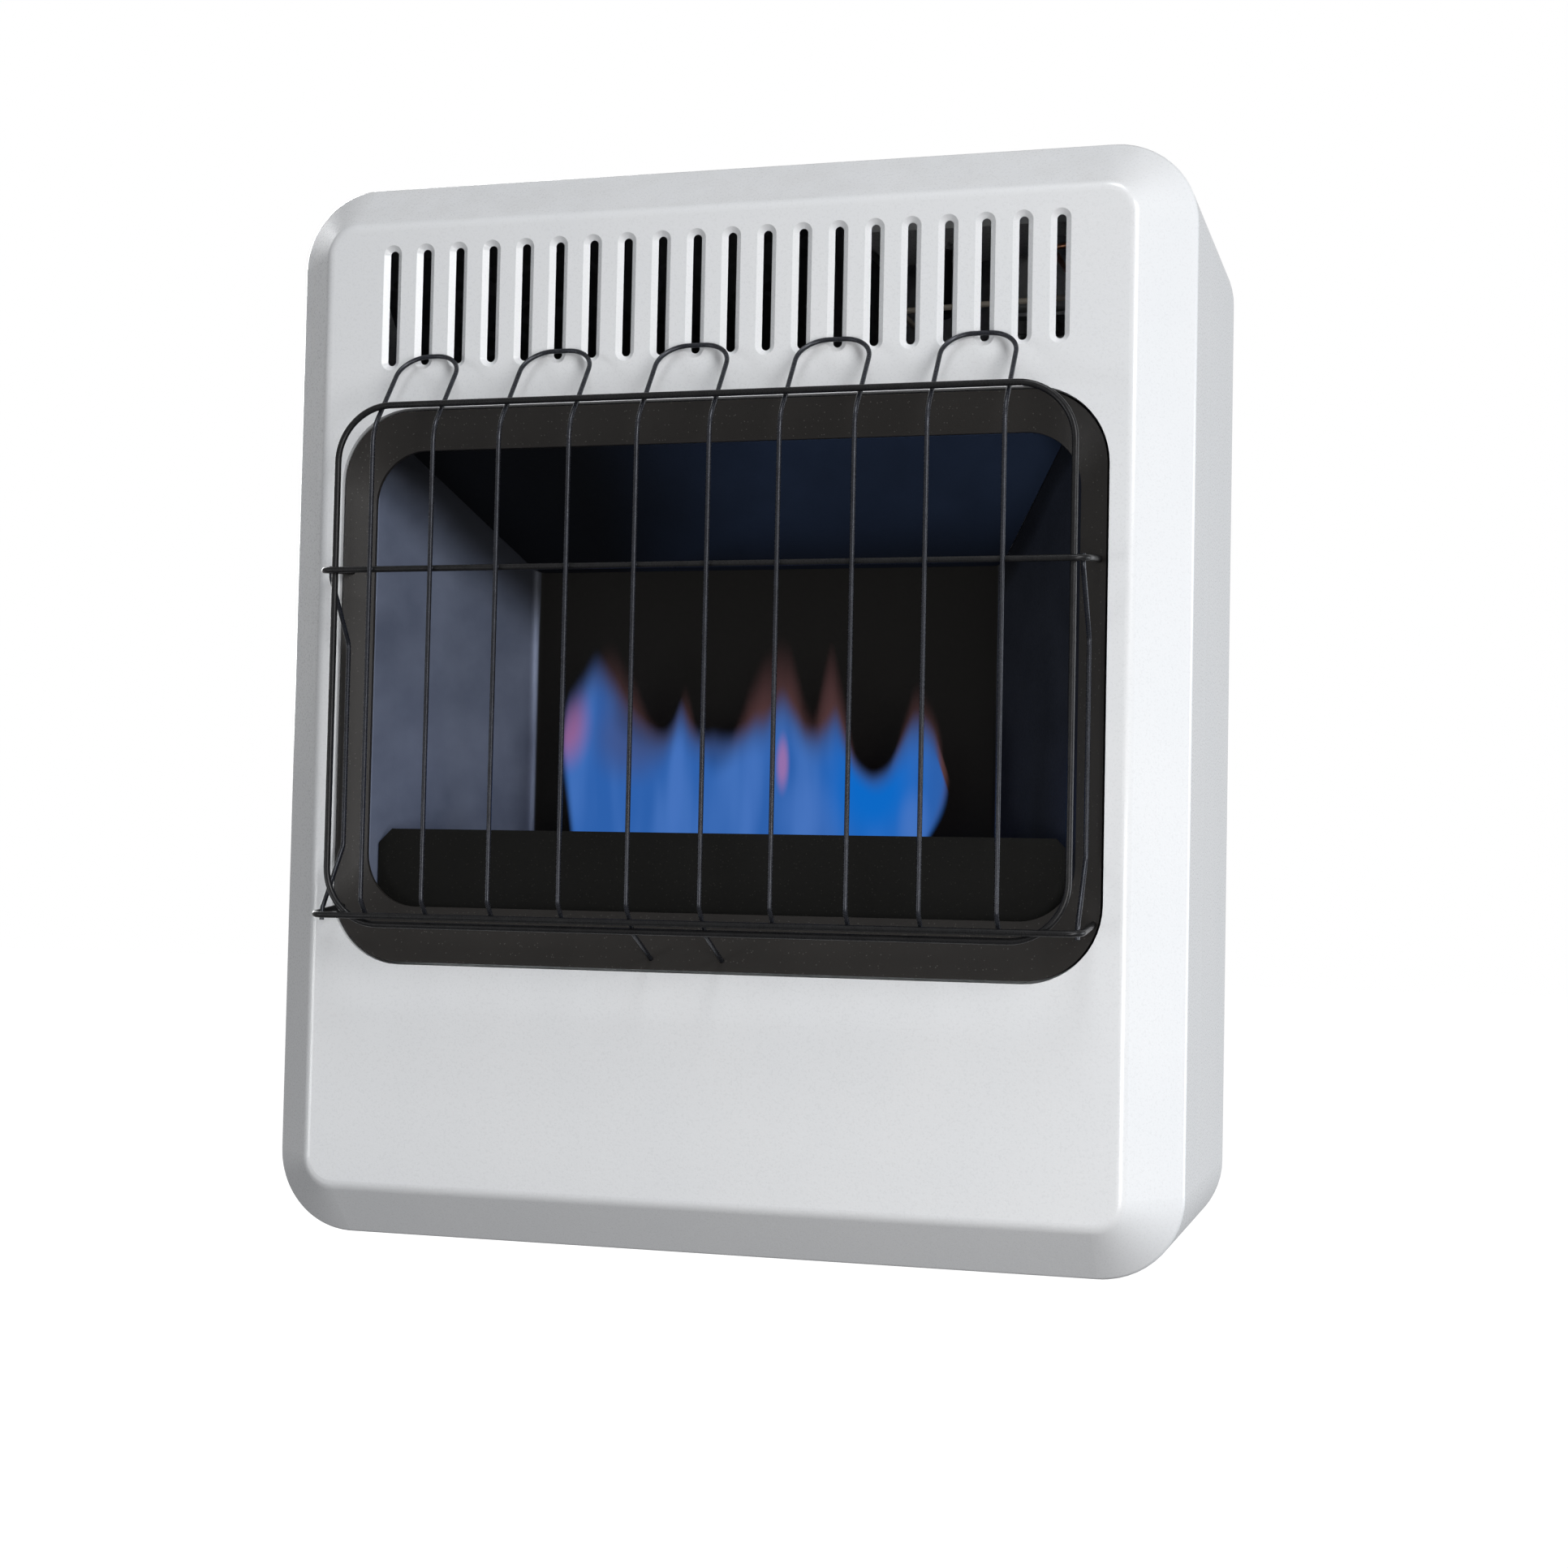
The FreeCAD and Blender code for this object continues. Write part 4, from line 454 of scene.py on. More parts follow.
@dataclass(frozen=True)
class Enamel(Finish):
    """Baked enamel on pressed sheet: a slight orange peel and a slow wave in the sheet."""

    peel_scale: float = 420.0
    wave_scale: float = 26.0
    wave_share: float = 0.9
    grain_share: float = 0.4

    def relief(self, sheet: NodeSheet, effects: Effects, grain: Socket) -> Socket:
        """Adds the orange peel and the sheet's wave to the grain.

        Args:
            sheet: The material's nodes.
            effects: The shared node groups.
            grain: The fine grain's height.

        Returns:
            The whole height.
        """
        peel = self.effect(sheet, effects.grain, Scale=self.peel_scale)
        wave = self.effect(sheet, effects.drift, Scale=self.wave_scale)
        both = sheet.math("MULTIPLY_ADD", wave, self.wave_share, peel)
        return sheet.math("MULTIPLY_ADD", grain, self.grain_share, both)


@dataclass(frozen=True)
class SpeckledEnamel(Finish):
    """Dark baked enamel with a fine light speckle, as hot parts have."""

    speck_tone: Colour = (0.16, 0.15, 0.14)
    speck_scale: float = 620.0
    speck_amount: float = 0.22
    speck_share: float = 0.55

    def paint(self, sheet: NodeSheet, effects: Effects, tone: Socket) -> Socket:
        """Adds the speckle."""
        specks = self.effect(sheet, effects.specks, Scale=self.speck_scale, Amount=self.speck_amount)
        return sheet.mix(sheet.math("MULTIPLY", specks, self.speck_share), tone, self.speck_tone)


@dataclass(frozen=True)
class SheetMetal(Finish):
    """Zinc-coated sheet with its spangle."""

    spangle_scale: float = 130.0
    spangle_tone: Colour = (0.62, 0.64, 0.66)

    def paint(self, sheet: NodeSheet, effects: Effects, tone: Socket) -> Socket:
        """Adds the spangle's facets."""
        facets = self.effect(sheet, effects.spangle, Scale=self.spangle_scale)
        return sheet.mix(facets, tone, self.spangle_tone)


@dataclass(frozen=True)
class SteelWithPaintedShade(Finish):
    """Coated steel with painted shade in a band under the slanted ceiling and on one side, and darker at the
    back.
    """

    shade_and_dark_back_tone: Colour = (0.012, 0.012, 0.012)
    ceiling_shade_low: float = CEILING_LEVEL - 0.055
    ceiling_shade_high: float = CEILING_LEVEL - 0.008
    ceiling_shade_ragged: float = 0.012
    dark_back_near_y: float = 0.0134
    dark_back_far_y: float = 0.0139
    ceiling_shade_share: float = 0.9
    side_shade_from_x: float = -0.06
    side_shade_to_x: float = 0.10
    side_shade_share: float = 0.72

    def paint(self, sheet: NodeSheet, effects: Effects, tone: Socket) -> Socket:
        """Darkens the back wall, and paints shade in a band under the slanted ceiling and on the side that
        lies in shade.

        Args:
            sheet: The material's nodes.
            effects: The shared node groups.
            tone: The steel's own tone.

        Returns:
            The tone with its painted shade and its darker back.
        """
        # Painted shade: a band under the slanted ceiling and the side picked out by x; the back is made
        # darker by depth.
        ceiling_shade = self.effect(
            sheet, effects.ceiling_shade, Low=self.ceiling_shade_low, High=self.ceiling_shade_high, Ragged=self.ceiling_shade_ragged,
            Fall=CEILING_FALL)
        x, y, _ = sheet.axes(sheet.place())
        deep = sheet.span(y, self.dark_back_near_y, self.dark_back_far_y)
        side_shade = sheet.span(x, self.side_shade_from_x, self.side_shade_to_x, 0.0, self.side_shade_share)
        high = sheet.math("MAXIMUM", sheet.math("MULTIPLY", ceiling_shade, self.ceiling_shade_share), side_shade)
        return sheet.mix(sheet.math("MAXIMUM", deep, high), tone, self.shade_and_dark_back_tone)


@dataclass(frozen=True)
class Blush:
    """One patch of another tone in a flame: its place, half width, half height, strength and tone."""

    x: float
    z: float
    wide: float
    high: float
    share: float
    tone: Colour


@dataclass(frozen=True)
class Flame(Finish):
    """A glowing gas flame with streaks and patches of other tones, which fades out along its own map."""

    streak_tone: Colour = (0.075, 0.19, 0.52)
    blushes: tuple[Blush, ...] = ()
    streak_stretch: tuple[float, float, float] = (46.0, 46.0, 7.0)
    streak_span: tuple[float, float] = (0.36, 0.68)
    blush_soft: float = 0.8
    strength: float = 1.0
    body_alpha: float = 0.97
    fade_from: float = 0.70
    cool_share: float = 0.85
    side_fade: float = 0.026
    wisp: float = 0.16

    def material(self, effects: Effects) -> bpy.types.Material:
        """Builds the flame as a material.

        Args:
            effects: The shared node groups.

        Returns:
            The material.
        """
        made = bpy.data.materials.new(self.name)
        sheet = emptied(made)
        shader = sheet.add("ShaderNodeBsdfPrincipled", {
            "Base Color": (0.0, 0.0, 0.0),
            "Roughness": self.roughness,
            "Specular IOR Level": 0.0,
            "Emission Strength": self.strength,
        })
        sheet.add("ShaderNodeOutputMaterial", {"Surface": shader.outputs[0]}, is_active_output=True)
        coordinates = sheet.add("ShaderNodeTexCoord")
        place = coordinates.outputs["Object"]
        stretched = sheet.add("ShaderNodeMapping", {"Vector": place, "Scale": self.streak_stretch})
        streaks = sheet.noise(stretched.outputs[0], scale=1.0, detail=2.0)
        tone = sheet.mix(sheet.span(streaks, *self.streak_span), self.tone, self.streak_tone)
        for blush in self.blushes:
            centred = sheet.add("ShaderNodeMapping", {
                "Vector": place,
                "Location": (-blush.x / blush.wide, 0.0, -blush.z / blush.high),
                "Scale": (1.0 / blush.wide, 0.0, 1.0 / blush.high),
            })
            inside = {"Vector": centred.outputs[0]}
            ball = sheet.add("ShaderNodeTexGradient", inside, gradient_type="SPHERICAL").outputs["Fac"]
            patch = sheet.span(ball, 0.0, self.blush_soft, 0.0, blush.share)
            tone = sheet.mix(patch, tone, blush.tone)
        across, along, _ = sheet.axes(coordinates.outputs["UV"])
        stray = sheet.math("SUBTRACT", streaks, Effects.NOISE_MIDDLE)
        wisps = sheet.math("MULTIPLY_ADD", stray, self.wisp, along)
        tip = sheet.span(wisps, self.fade_from, 1.0, 1.0, 0.0)
        tone = sheet.mix(sheet.span(along, self.fade_from * self.cool_share, 1.0), tone, self.second_tone)
        left = sheet.span(across, 0.0, self.side_fade)
        right = sheet.span(across, 1.0 - self.side_fade, 1.0, 1.0, 0.0)
        share = sheet.math("MULTIPLY", tip, sheet.math("MULTIPLY", left, right))
        sheet.feed(shader.inputs["Emission Color"], tone)
        sheet.feed(shader.inputs["Alpha"], sheet.math("MULTIPLY", share, self.body_alpha))
        return made


class Wardrobe:
    """Holds each finish's material, built when it is first asked for."""

    def __init__(self) -> None:
        """Builds the shared effects."""
        self.effects = Effects()
        self.made: dict[str, bpy.types.Material] = {}

    def take(self, finish: Finish) -> bpy.types.Material:
        """Takes a finish's material, and builds it the first time.

        Args:
            finish: The finish that is wanted.

        Returns:
            Its material.
        """
        if finish.name not in self.made:
            self.made[finish.name] = finish.material(self.effects)
        return self.made[finish.name]


WHITE_ENAMEL = Enamel(
    "white_enamel_gloss", (0.775, 0.79, 0.81), (0.80, 0.81, 0.825), 0.3, grain_depth=0.00005, dust=0.16,
    coat=0.35, coat_roughness=0.12)
DARK_ENAMEL = SpeckledEnamel(
    "bezel_enamel", (0.017, 0.0155, 0.0145), (0.024, 0.022, 0.0205), 0.42, grain_scale=1500.0,
    grain_depth=0.00005, speck_tone=(0.10, 0.095, 0.09), specular=0.22)
BLACK_ENAMEL = SpeckledEnamel(
    "shield_enamel", (0.007, 0.007, 0.0065), (0.010, 0.010, 0.0095), 0.62, grain_scale=1300.0,
    speck_tone=(0.035, 0.035, 0.03), specular=0.06)
# Painted shade darkens the wrap in a band under the ceiling and on its right wall; its back wall is darker as
# well.
FIREBOX_STEEL = SteelWithPaintedShade(
    "firebox_steel_painted_shade", (0.150, 0.175, 0.245), (0.098, 0.117, 0.172), 0.42, metallic=0.35,
    drift_scale=30.0, grain_scale=700.0, shade_and_dark_back_tone=(0.0085, 0.0080, 0.0075), specular=0.1)
# Painted shade: the ceiling's tones are a darker copy of the firebox steel, and its left side is darkened
# further; it is darker towards the back too, and the band under the ceiling is set out of reach.
CEILING_STEEL = SteelWithPaintedShade(
    "ceiling_steel_painted_shade", (0.030, 0.047, 0.092), (0.020, 0.031, 0.060), 0.5, metallic=0.3,
    ceiling_shade_low=0.8, ceiling_shade_high=0.9, dark_back_near_y=-0.03, dark_back_far_y=0.03, shade_and_dark_back_tone=(0.005, 0.005, 0.005),
    side_shade_from_x=0.03, side_shade_to_x=-0.10, side_shade_share=0.95, specular=0.1)
BURNER_STEEL = Finish(
    "burner_steel_aluminised", (0.42, 0.42, 0.42), (0.30, 0.29, 0.285), 0.42, metallic=0.85, drift_scale=40.0,
    grain_scale=1200.0)
ZINC_SHEET = SheetMetal(
    "zinc_sheet_spangled", (0.50, 0.515, 0.53), (0.44, 0.455, 0.47), 0.4, metallic=0.9, dust=0.12)
# Painted shade: a much darker copy of the zinc sheet, for the sheets seen through the slots.
SHADED_ZINC = SheetMetal(
    "zinc_sheet_painted_shade", (0.07, 0.072, 0.078), (0.045, 0.046, 0.05), 0.5, metallic=0.8,
    spangle_tone=(0.11, 0.112, 0.12), specular=0.2)
ZINC_SCREW = Finish(
    "zinc_screw_bright", (0.60, 0.61, 0.62), (0.52, 0.53, 0.54), 0.3, metallic=1.0, drift_scale=300.0)
STEEL_STEM = Finish(
    "steel_stem_turned", (0.55, 0.55, 0.55), (0.48, 0.48, 0.48), 0.25, metallic=1.0, drift_scale=200.0)
CAST_ALLOY = Finish(
    "cast_alloy_raw", (0.46, 0.465, 0.47), (0.38, 0.385, 0.39), 0.55, metallic=0.8, drift_scale=70.0,
    grain_scale=1400.0, grain_depth=0.00012, dust=0.1)
ALLOY_PIPE = Finish(
    "alloy_pipe_drawn", (0.62, 0.625, 0.63), (0.55, 0.555, 0.56), 0.34, metallic=1.0, drift_scale=90.0)
BRASS = Finish("brass_turned", (0.72, 0.50, 0.21), (0.60, 0.40, 0.16), 0.3, metallic=1.0, drift_scale=120.0)
COPPER = Finish("copper_drawn", (0.74, 0.37, 0.22), (0.58, 0.27, 0.15), 0.33, metallic=1.0, drift_scale=120.0)
CERAMIC = Finish("ceramic_glazed", (0.78, 0.76, 0.70), (0.72, 0.69, 0.62), 0.35, drift_scale=200.0)
BLACK_PLASTIC = Finish(
    "black_plastic_moulded", (0.018, 0.018, 0.019), (0.025, 0.025, 0.026), 0.45, drift_scale=60.0,
    grain_scale=2200.0, grain_depth=0.00006, dust=0.1)
RED_PLASTIC = Finish(
    "red_plastic_moulded", (0.48, 0.02, 0.016), (0.40, 0.016, 0.013), 0.35, drift_scale=160.0)
LEAD_SLEEVE = Finish("lead_sleeve_soft", (0.55, 0.50, 0.42), (0.46, 0.41, 0.34), 0.6, drift_scale=120.0)
RUBBER = Finish(
    "rubber_foot_moulded", (0.022, 0.021, 0.020), (0.034, 0.032, 0.030), 0.8, drift_scale=120.0,
    grain_depth=0.0001)
GUARD_WIRE = Finish(
    "guard_wire_plated", (0.030, 0.033, 0.042), (0.018, 0.019, 0.024), 0.24, metallic=0.5, drift_scale=160.0,
    grain_scale=1600.0, specular=0.45)
# Painted shade: a darker copy of the guard's plating, for its bars.
GUARD_BAR_SHADED = Finish(
    "guard_bar_painted_shade", (0.018, 0.018, 0.019), (0.011, 0.011, 0.012), 0.3, metallic=0.4, drift_scale=160.0,
    grain_scale=1600.0, specular=0.3)
MARK_WHITE = Finish("mark_white", (0.78, 0.78, 0.76), (0.74, 0.74, 0.72), 0.45, drift_scale=400.0)

PURE_BLUE: Colour = (0.004, 0.138, 0.555)
PALE_BLUE: Colour = (0.070, 0.185, 0.54)
SHADE_BLUE: Colour = (0.014, 0.056, 0.20)
DULL_VIOLET: Colour = (0.052, 0.085, 0.235)
DEEP_VIOLET: Colour = (0.020, 0.028, 0.065)
WARM_PINK: Colour = (0.27, 0.12, 0.29)
PALE_PINK: Colour = (0.29, 0.16, 0.40)
BLUE_FLAME = Flame(
    "flame_blue", (0.026, 0.115, 0.40), (0.040, 0.060, 0.15), 1.0, streak_tone=(0.052, 0.158, 0.48),
    blushes=(
        Blush(0.080, 0.258, 0.040, 0.050, 1.0, PURE_BLUE),
        Blush(-0.064, 0.287, 0.030, 0.034, 0.85, DULL_VIOLET),
        Blush(-0.052, 0.300, 0.026, 0.022, 0.8, DEEP_VIOLET),
        Blush(-0.016, 0.297, 0.018, 0.018, 0.6, DEEP_VIOLET),
        Blush(-0.103, 0.295, 0.019, 0.033, 1.0, WARM_PINK),
        Blush(0.0262, 0.272, 0.0054, 0.021, 1.0, PALE_PINK),
        Blush(0.040, 0.244, 0.024, 0.030, 0.5, PALE_BLUE),
        Blush(0.104, 0.240, 0.012, 0.024, 0.6, PALE_BLUE),
        Blush(-0.036, 0.262, 0.007, 0.060, 0.5, PALE_BLUE),
        Blush(0.008, 0.255, 0.008, 0.050, 0.4, PALE_BLUE),
        Blush(-0.012, 0.282, 0.013, 0.022, 0.6, SHADE_BLUE)))
RED_HAZE = Flame(
    "flame_haze", (0.105, 0.048, 0.050), (0.095, 0.044, 0.045), 1.0, streak_tone=(0.080, 0.042, 0.045),
    body_alpha=0.78, fade_from=0.42, wisp=0.3)
CONE_FLAME = Flame(
    "flame_cone", (0.08, 0.30, 0.95), (0.02, 0.14, 0.55), 1.0, streak_tone=(0.16, 0.42, 1.0), body_alpha=0.8,
    fade_from=0.4, side_fade=0.0001)


def meshed(name: str, shape: bmesh.types.BMesh) -> bpy.types.Mesh:
    """Makes a mesh from a shape.

    Args:
        name: The mesh's name.
        shape: The shape, which is freed here.

    Returns:
        The mesh.
    """
    mesh = bpy.data.meshes.new(name)
    shape.to_mesh(mesh)
    shape.free()
    return mesh


def linked(name: str, data: bpy.types.ID) -> bpy.types.Object:
    """Puts a mesh, a lamp or a camera in the scene.

    Args:
        name: The object's name.
        data: What it shows.

    Returns:
        The object.
    """
    made = bpy.data.objects.new(name, data)
    bpy.context.scene.collection.objects.link(made)
    return made


@dataclass
class Shop:
    """What every sub-assembly works with: the frame's nodes and the finishes."""

    nodes: dict[str, bpy.types.Object]
    wardrobe: Wardrobe = field(default_factory=Wardrobe)

    def dress(self, finish: Finish, *names: str) -> None:
        """Gives the named frame pieces a finish.

        Args:
            finish: The finish.
            *names: The pieces' names.
        """
        material = self.wardrobe.take(finish)
        for name in names:
            for holder in self.nodes[name].material_slots:
                holder.material = material
            LOG.info("dressed %s in %s", name, finish.name)

    def add(
        self,
        name: str,
        shape: bmesh.types.BMesh,
        finish: Finish,
        slot: Slot,
        body: str = ROOT_BODY,
        smooth: bool = True,
    ) -> bpy.types.Object:
        """Makes a new piece from a finished shape.

        Args:
            name: The piece's name.
            shape: Its mesh, in place, which is freed here.
            finish: Its finish.
            slot: The record's slot that the finish belongs to; it is not used.
            body: The body that it rides on.
            smooth: Whether its faces are shaded smooth.

        Returns:
            The new piece.
        """
        for face in shape.faces:
            face.smooth = smooth
        mesh = meshed(name, shape)
        mesh.materials.append(self.wardrobe.take(finish))
        piece = linked(name, mesh)
        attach(piece, body)
        LOG.info("built %s with %d faces", name, len(mesh.polygons))
        return piece


def middle(node: str) -> Vector:
    """The centre of a frame piece's box."""
    low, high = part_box(node)
    return (low + high) / 2


@dataclass
class ScrewHead:
    """A pan head with a cross recess, and a stub of its shank."""

    radius: float = 4.0 * MM
    height: float = 2.2 * MM
    shank_radius: float = 1.85 * MM
    shank_length: float = 6.9 * MM
    arm_share: float = 0.62
    arm_width: float = 1.0 * MM
    arm_taper: tuple[float, float] = (0.45, 0.55)
    recess_depth: float = 1.3 * MM
    round_share: float = 0.45
    edge_share: float = 0.3
    turns: int = 28

    def shape(self) -> bmesh.types.BMesh:
        """The screw at the origin with its head up, its recess cut.

        Returns:
            The screw's mesh.
        """
        form = bmesh.new()
        crown = self.height * self.round_share
        edge = crown * self.edge_share
        profile = [
            (0.0, self.height), (self.radius - crown, self.height), (self.radius - edge, self.height - edge),
            (self.radius, self.height - crown), (self.radius, 0.0), (self.shank_radius, 0.0),
            (self.shank_radius, -self.shank_length), (0.0, -self.shank_length - self.shank_radius / 2)]
        corners = [form.verts.new((x, 0.0, z)) for x, z in profile]
        edges = [form.edges.new(pair) for pair in zip(corners, corners[1:])]
        bmesh.ops.spin(
            form, geom=corners + edges, cent=(0, 0, 0), axis=(0, 0, 1), dvec=(0, 0, 0), angle=math.tau,
            steps=self.turns, use_merge=True)
        bmesh.ops.remove_doubles(form, verts=form.verts, dist=MERGE_GAP)
        bmesh.ops.recalc_face_normals(form, faces=form.faces)
        return self._cut(form)

    def _cut(self, form: bmesh.types.BMesh) -> bmesh.types.BMesh:
        """Cuts the cross recess with a tapered cutter.

        Args:
            form: The screw's form, which is freed here.

        Returns:
            The form with its recess.
        """
        cutter = bmesh.new()
        reach = self.radius * self.arm_share
        for turn in range(2):
            made = bmesh.ops.create_cube(cutter, size=1.0)["verts"]
            bmesh.ops.scale(cutter, vec=(2 * reach, self.arm_width, 2 * self.recess_depth), verts=made)
            for corner in made:
                if corner.co.z < 0:
                    corner.co.x *= self.arm_taper[0]
                    corner.co.y *= self.arm_taper[1]
            quarter = Matrix.Rotation(turn * math.pi / 2, 3, "Z")
            bmesh.ops.rotate(cutter, cent=(0, 0, 0), matrix=quarter, verts=made)
        bmesh.ops.translate(cutter, vec=(0, 0, self.height), verts=cutter.verts)
        bmesh.ops.recalc_face_normals(cutter, faces=cutter.faces)
        return carved(form, cutter)


def carved(form: bmesh.types.BMesh, cutter: bmesh.types.BMesh) -> bmesh.types.BMesh:
    """Cuts one closed shape from another.

    Args:
        form: The shape that is cut, which is freed here.
        cutter: What is taken away, which is freed here.

    Returns:
        The shape that is left.
    """
    shapes = {"carved_form": form, "carved_cutter": cutter}
    blocks = [linked(name, meshed(name, shape)) for name, shape in shapes.items()]
    modifier = blocks[0].modifiers.new("cut", "BOOLEAN")
    modifier.operation = "DIFFERENCE"
    modifier.object = blocks[1]
    modifier.use_self = True
    bpy.context.view_layer.update()
    left = bmesh.new()
    left.from_object(blocks[0], bpy.context.evaluated_depsgraph_get())
    for block in blocks:
        mesh = block.data
        bpy.data.objects.remove(block)
        bpy.data.meshes.remove(mesh)
    return left


def scattered(shape: bmesh.types.BMesh, places: Sequence[Matrix]) -> bmesh.types.BMesh:
    """Copies one shape to each place, as one mesh.

    Args:
        shape: The shape at the origin, which is freed here.
        places: Where each copy goes.

    Returns:
        The mesh of all the copies.
    """
    pattern = meshed("pattern", shape)
    whole = bmesh.new()
    for place in places:
        first = len(whole.verts)
        whole.from_mesh(pattern)
        whole.verts.ensure_lookup_table()
        bmesh.ops.transform(whole, matrix=place, verts=whole.verts[first:])
    bpy.data.meshes.remove(pattern)
    return whole


@dataclass
class Cover:
    """The front cover, its bezel and the screws on its top flange."""

    screw: ScrewHead = field(default_factory=ScrewHead)

    def build(self, shop: Shop) -> None:
        """Dresses the cover and builds its screws.

        Args:
            shop: The frame's nodes and the finishes.
        """
        shop.dress(WHITE_ENAMEL, "front_panel")
        shop.dress(DARK_ENAMEL, "window_bezel")
        low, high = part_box("cover_screws")
        reach = high.x - self.screw.radius
        y = (low.y + high.y) / 2
        z = high.z - self.screw.height
        places = [Matrix.Translation((x, y, z)) for x in (-reach, 0.0, reach)]
        shape = scattered(self.screw.shape(), places)
        screws = shop.add("cover_screw_heads", shape, ZINC_SCREW, Slot.SCREW, smooth=False)
        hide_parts("cover_screws")


@dataclass
class Casing:
    """The wrap behind the cover, the back panel with its screws, and what holds the heater on the wall."""

    screw: ScrewHead = field(default_factory=ScrewHead)
    side_pitch_share: float = 0.25

    def build(self, shop: Shop) -> None:
        """Dresses the casing and builds the back's screws.

        Args:
            shop: The frame's nodes and the finishes.
        """
        shop.dress(WHITE_ENAMEL, "rear_casing", "control_tray")
        shop.dress(ZINC_SHEET, "back_panel", "wall_bracket")
        shop.dress(RUBBER, "wall_spacers")
        shape = scattered(self.screw.shape(), [self.place(x, z) for x, z in self.spots()])
        screws = shop.add("back_screw_heads", shape, ZINC_SCREW, Slot.SCREW, smooth=False)
        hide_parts("back_panel_screws")

    def spots(self) -> list[tuple[float, float]]:
        """Finds where the screws on the back are.

        Returns:
            The places, those on the sides first.
        """
        low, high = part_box("back_panel_screws")
        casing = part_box("rear_casing")[1]
        far = high.x - self.screw.radius
        centre_z = (low.z + high.z) / 2
        pitch = casing.z * self.side_pitch_share
        sides = [(hand * far, centre_z + step * pitch) for hand in (-1, 1) for step in (-1, 0, 1)]
        heights = (low.z + self.screw.radius, high.z - self.screw.radius)
        ends = [(hand * casing.x / 2, z) for hand in (-1, 1) for z in heights]
        return sides + ends

    def place(self, x: float, z: float) -> Matrix:
        """Turns a screw to point forward and puts it at one spot."""
        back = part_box("back_panel_screws")[1].y - self.screw.height
        return Matrix.Translation((x, back, z)) @ Matrix.Rotation(-math.pi / 2, 4, "X")


@dataclass
class Firebox:
    """The chamber behind the window, its shelf and the shields round it."""

    def build(self, shop: Shop) -> None:
        """Dresses every sheet of the firebox.

        Args:
            shop: The frame's nodes and the finishes.
        """
        shop.dress(FIREBOX_STEEL, "firebox_wrap")
        shop.dress(CEILING_STEEL, "firebox_ceiling")
        shop.dress(BLACK_ENAMEL, "burner_shield")
        shop.dress(SHADED_ZINC, "top_deflector", "control_heat_shield")
        shop.dress(ZINC_SHEET, "base_shelf", "rear_heat_shield")
        shop.dress(ZINC_SHEET, "firebox_bracket_left", "firebox_bracket_right")


def interpolate_rise(way: float, start: float, end: float, rise_in: float, rise_out: float) -> float:
    """A height on a smooth line between two heights.

    Args:
        way: How far along the line, from 0 to 1.
        start: The first height.
        end: The last height.
        rise_in: How fast it rises at the start.
        rise_out: How fast it rises at the end.

    Returns:
        The height.
    """
    square, cube = way ** 2, way ** 3
    ease = 3 * square - 2 * cube
    return start + ease * (end - start) + rise_in * (cube - 2 * square + way) + rise_out * (cube - square)


@dataclass
class FlameCurtain:
    """Tongues of flame that stand along the burner as one thin wavy sheet."""

    crests: Sequence[tuple[float, float]]
    base: float
    bulge: float = 5.0 * MM
    bulge_pace: float = 1.25
    right_pinch: float = 9.0 * MM
    right_pinch_pace: float = 1.7
    left_pinch: float = 7.0 * MM
    left_pinch_pace: float = 1.6
    sway: float = 4.0 * MM
    short_wave: float = 95.0
    long_wave: float = 41.0
    lean: float = 3.0
    thickness: float = 0.6 * MM
    columns: int = 150
    rows: int = 26

    def top(self, x: float) -> float:
        """Follows a smooth line through the crests.

        Args:
            x: The place along the burner.

        Returns:
            The height there.
        """
        last = len(self.crests) - 1
        right = next((step for step in range(1, last) if self.crests[step][0] >= x), last)
        before, start, end, after = (self.crests[min(max(right + step, 0), last)] for step in (-2, -1, 0, 1))
        way = (x - start[0]) / (end[0] - start[0])
        rise_in = (end[1] - before[1]) / (end[0] - before[0]) * (end[0] - start[0])
        rise_out = (after[1] - start[1]) / (after[0] - start[0]) * (end[0] - start[0])
        return interpolate_rise(way, start[1], end[1], rise_in, rise_out)

    def shape(self, y: float) -> bmesh.types.BMesh:
        """The curtain's mesh.

        Args:
            y: The depth that it stands at.

        Returns:
            The mesh, with a map that runs from left to right and from base to tip.
        """
        sheet = bmesh.new()
        sheet.loops.layers.uv.new("UVMap")
        half = 0.5
        bmesh.ops.create_grid(sheet, x_segments=self.columns, y_segments=self.rows, size=half, calc_uvs=True)
        for corner in sheet.verts:
            across, along = corner.co.x + half, corner.co.y + half
            x = self.crests[0][0] + across * (self.crests[-1][0] - self.crests[0][0])
            z = self.base + along * (self.top(x) - self.base)
            right, left = max(2 * across - 1, 0.0), max(1 - 2 * across, 0.0)
            swell = self.bulge * math.sin(math.pi * min(along * self.bulge_pace, 1.0)) * right
            swell -= self.right_pinch * right * max(1 - along * self.right_pinch_pace, 0.0)
            swell += self.left_pinch * left * max(1 - along * self.left_pinch_pace, 0.0)
            short = math.sin(x * self.short_wave) * along
            long = math.sin(x * self.long_wave + along * self.lean)
            corner.co = (x + swell, y + self.sway * short + self.sway / 2 * long, z)
        return sheet


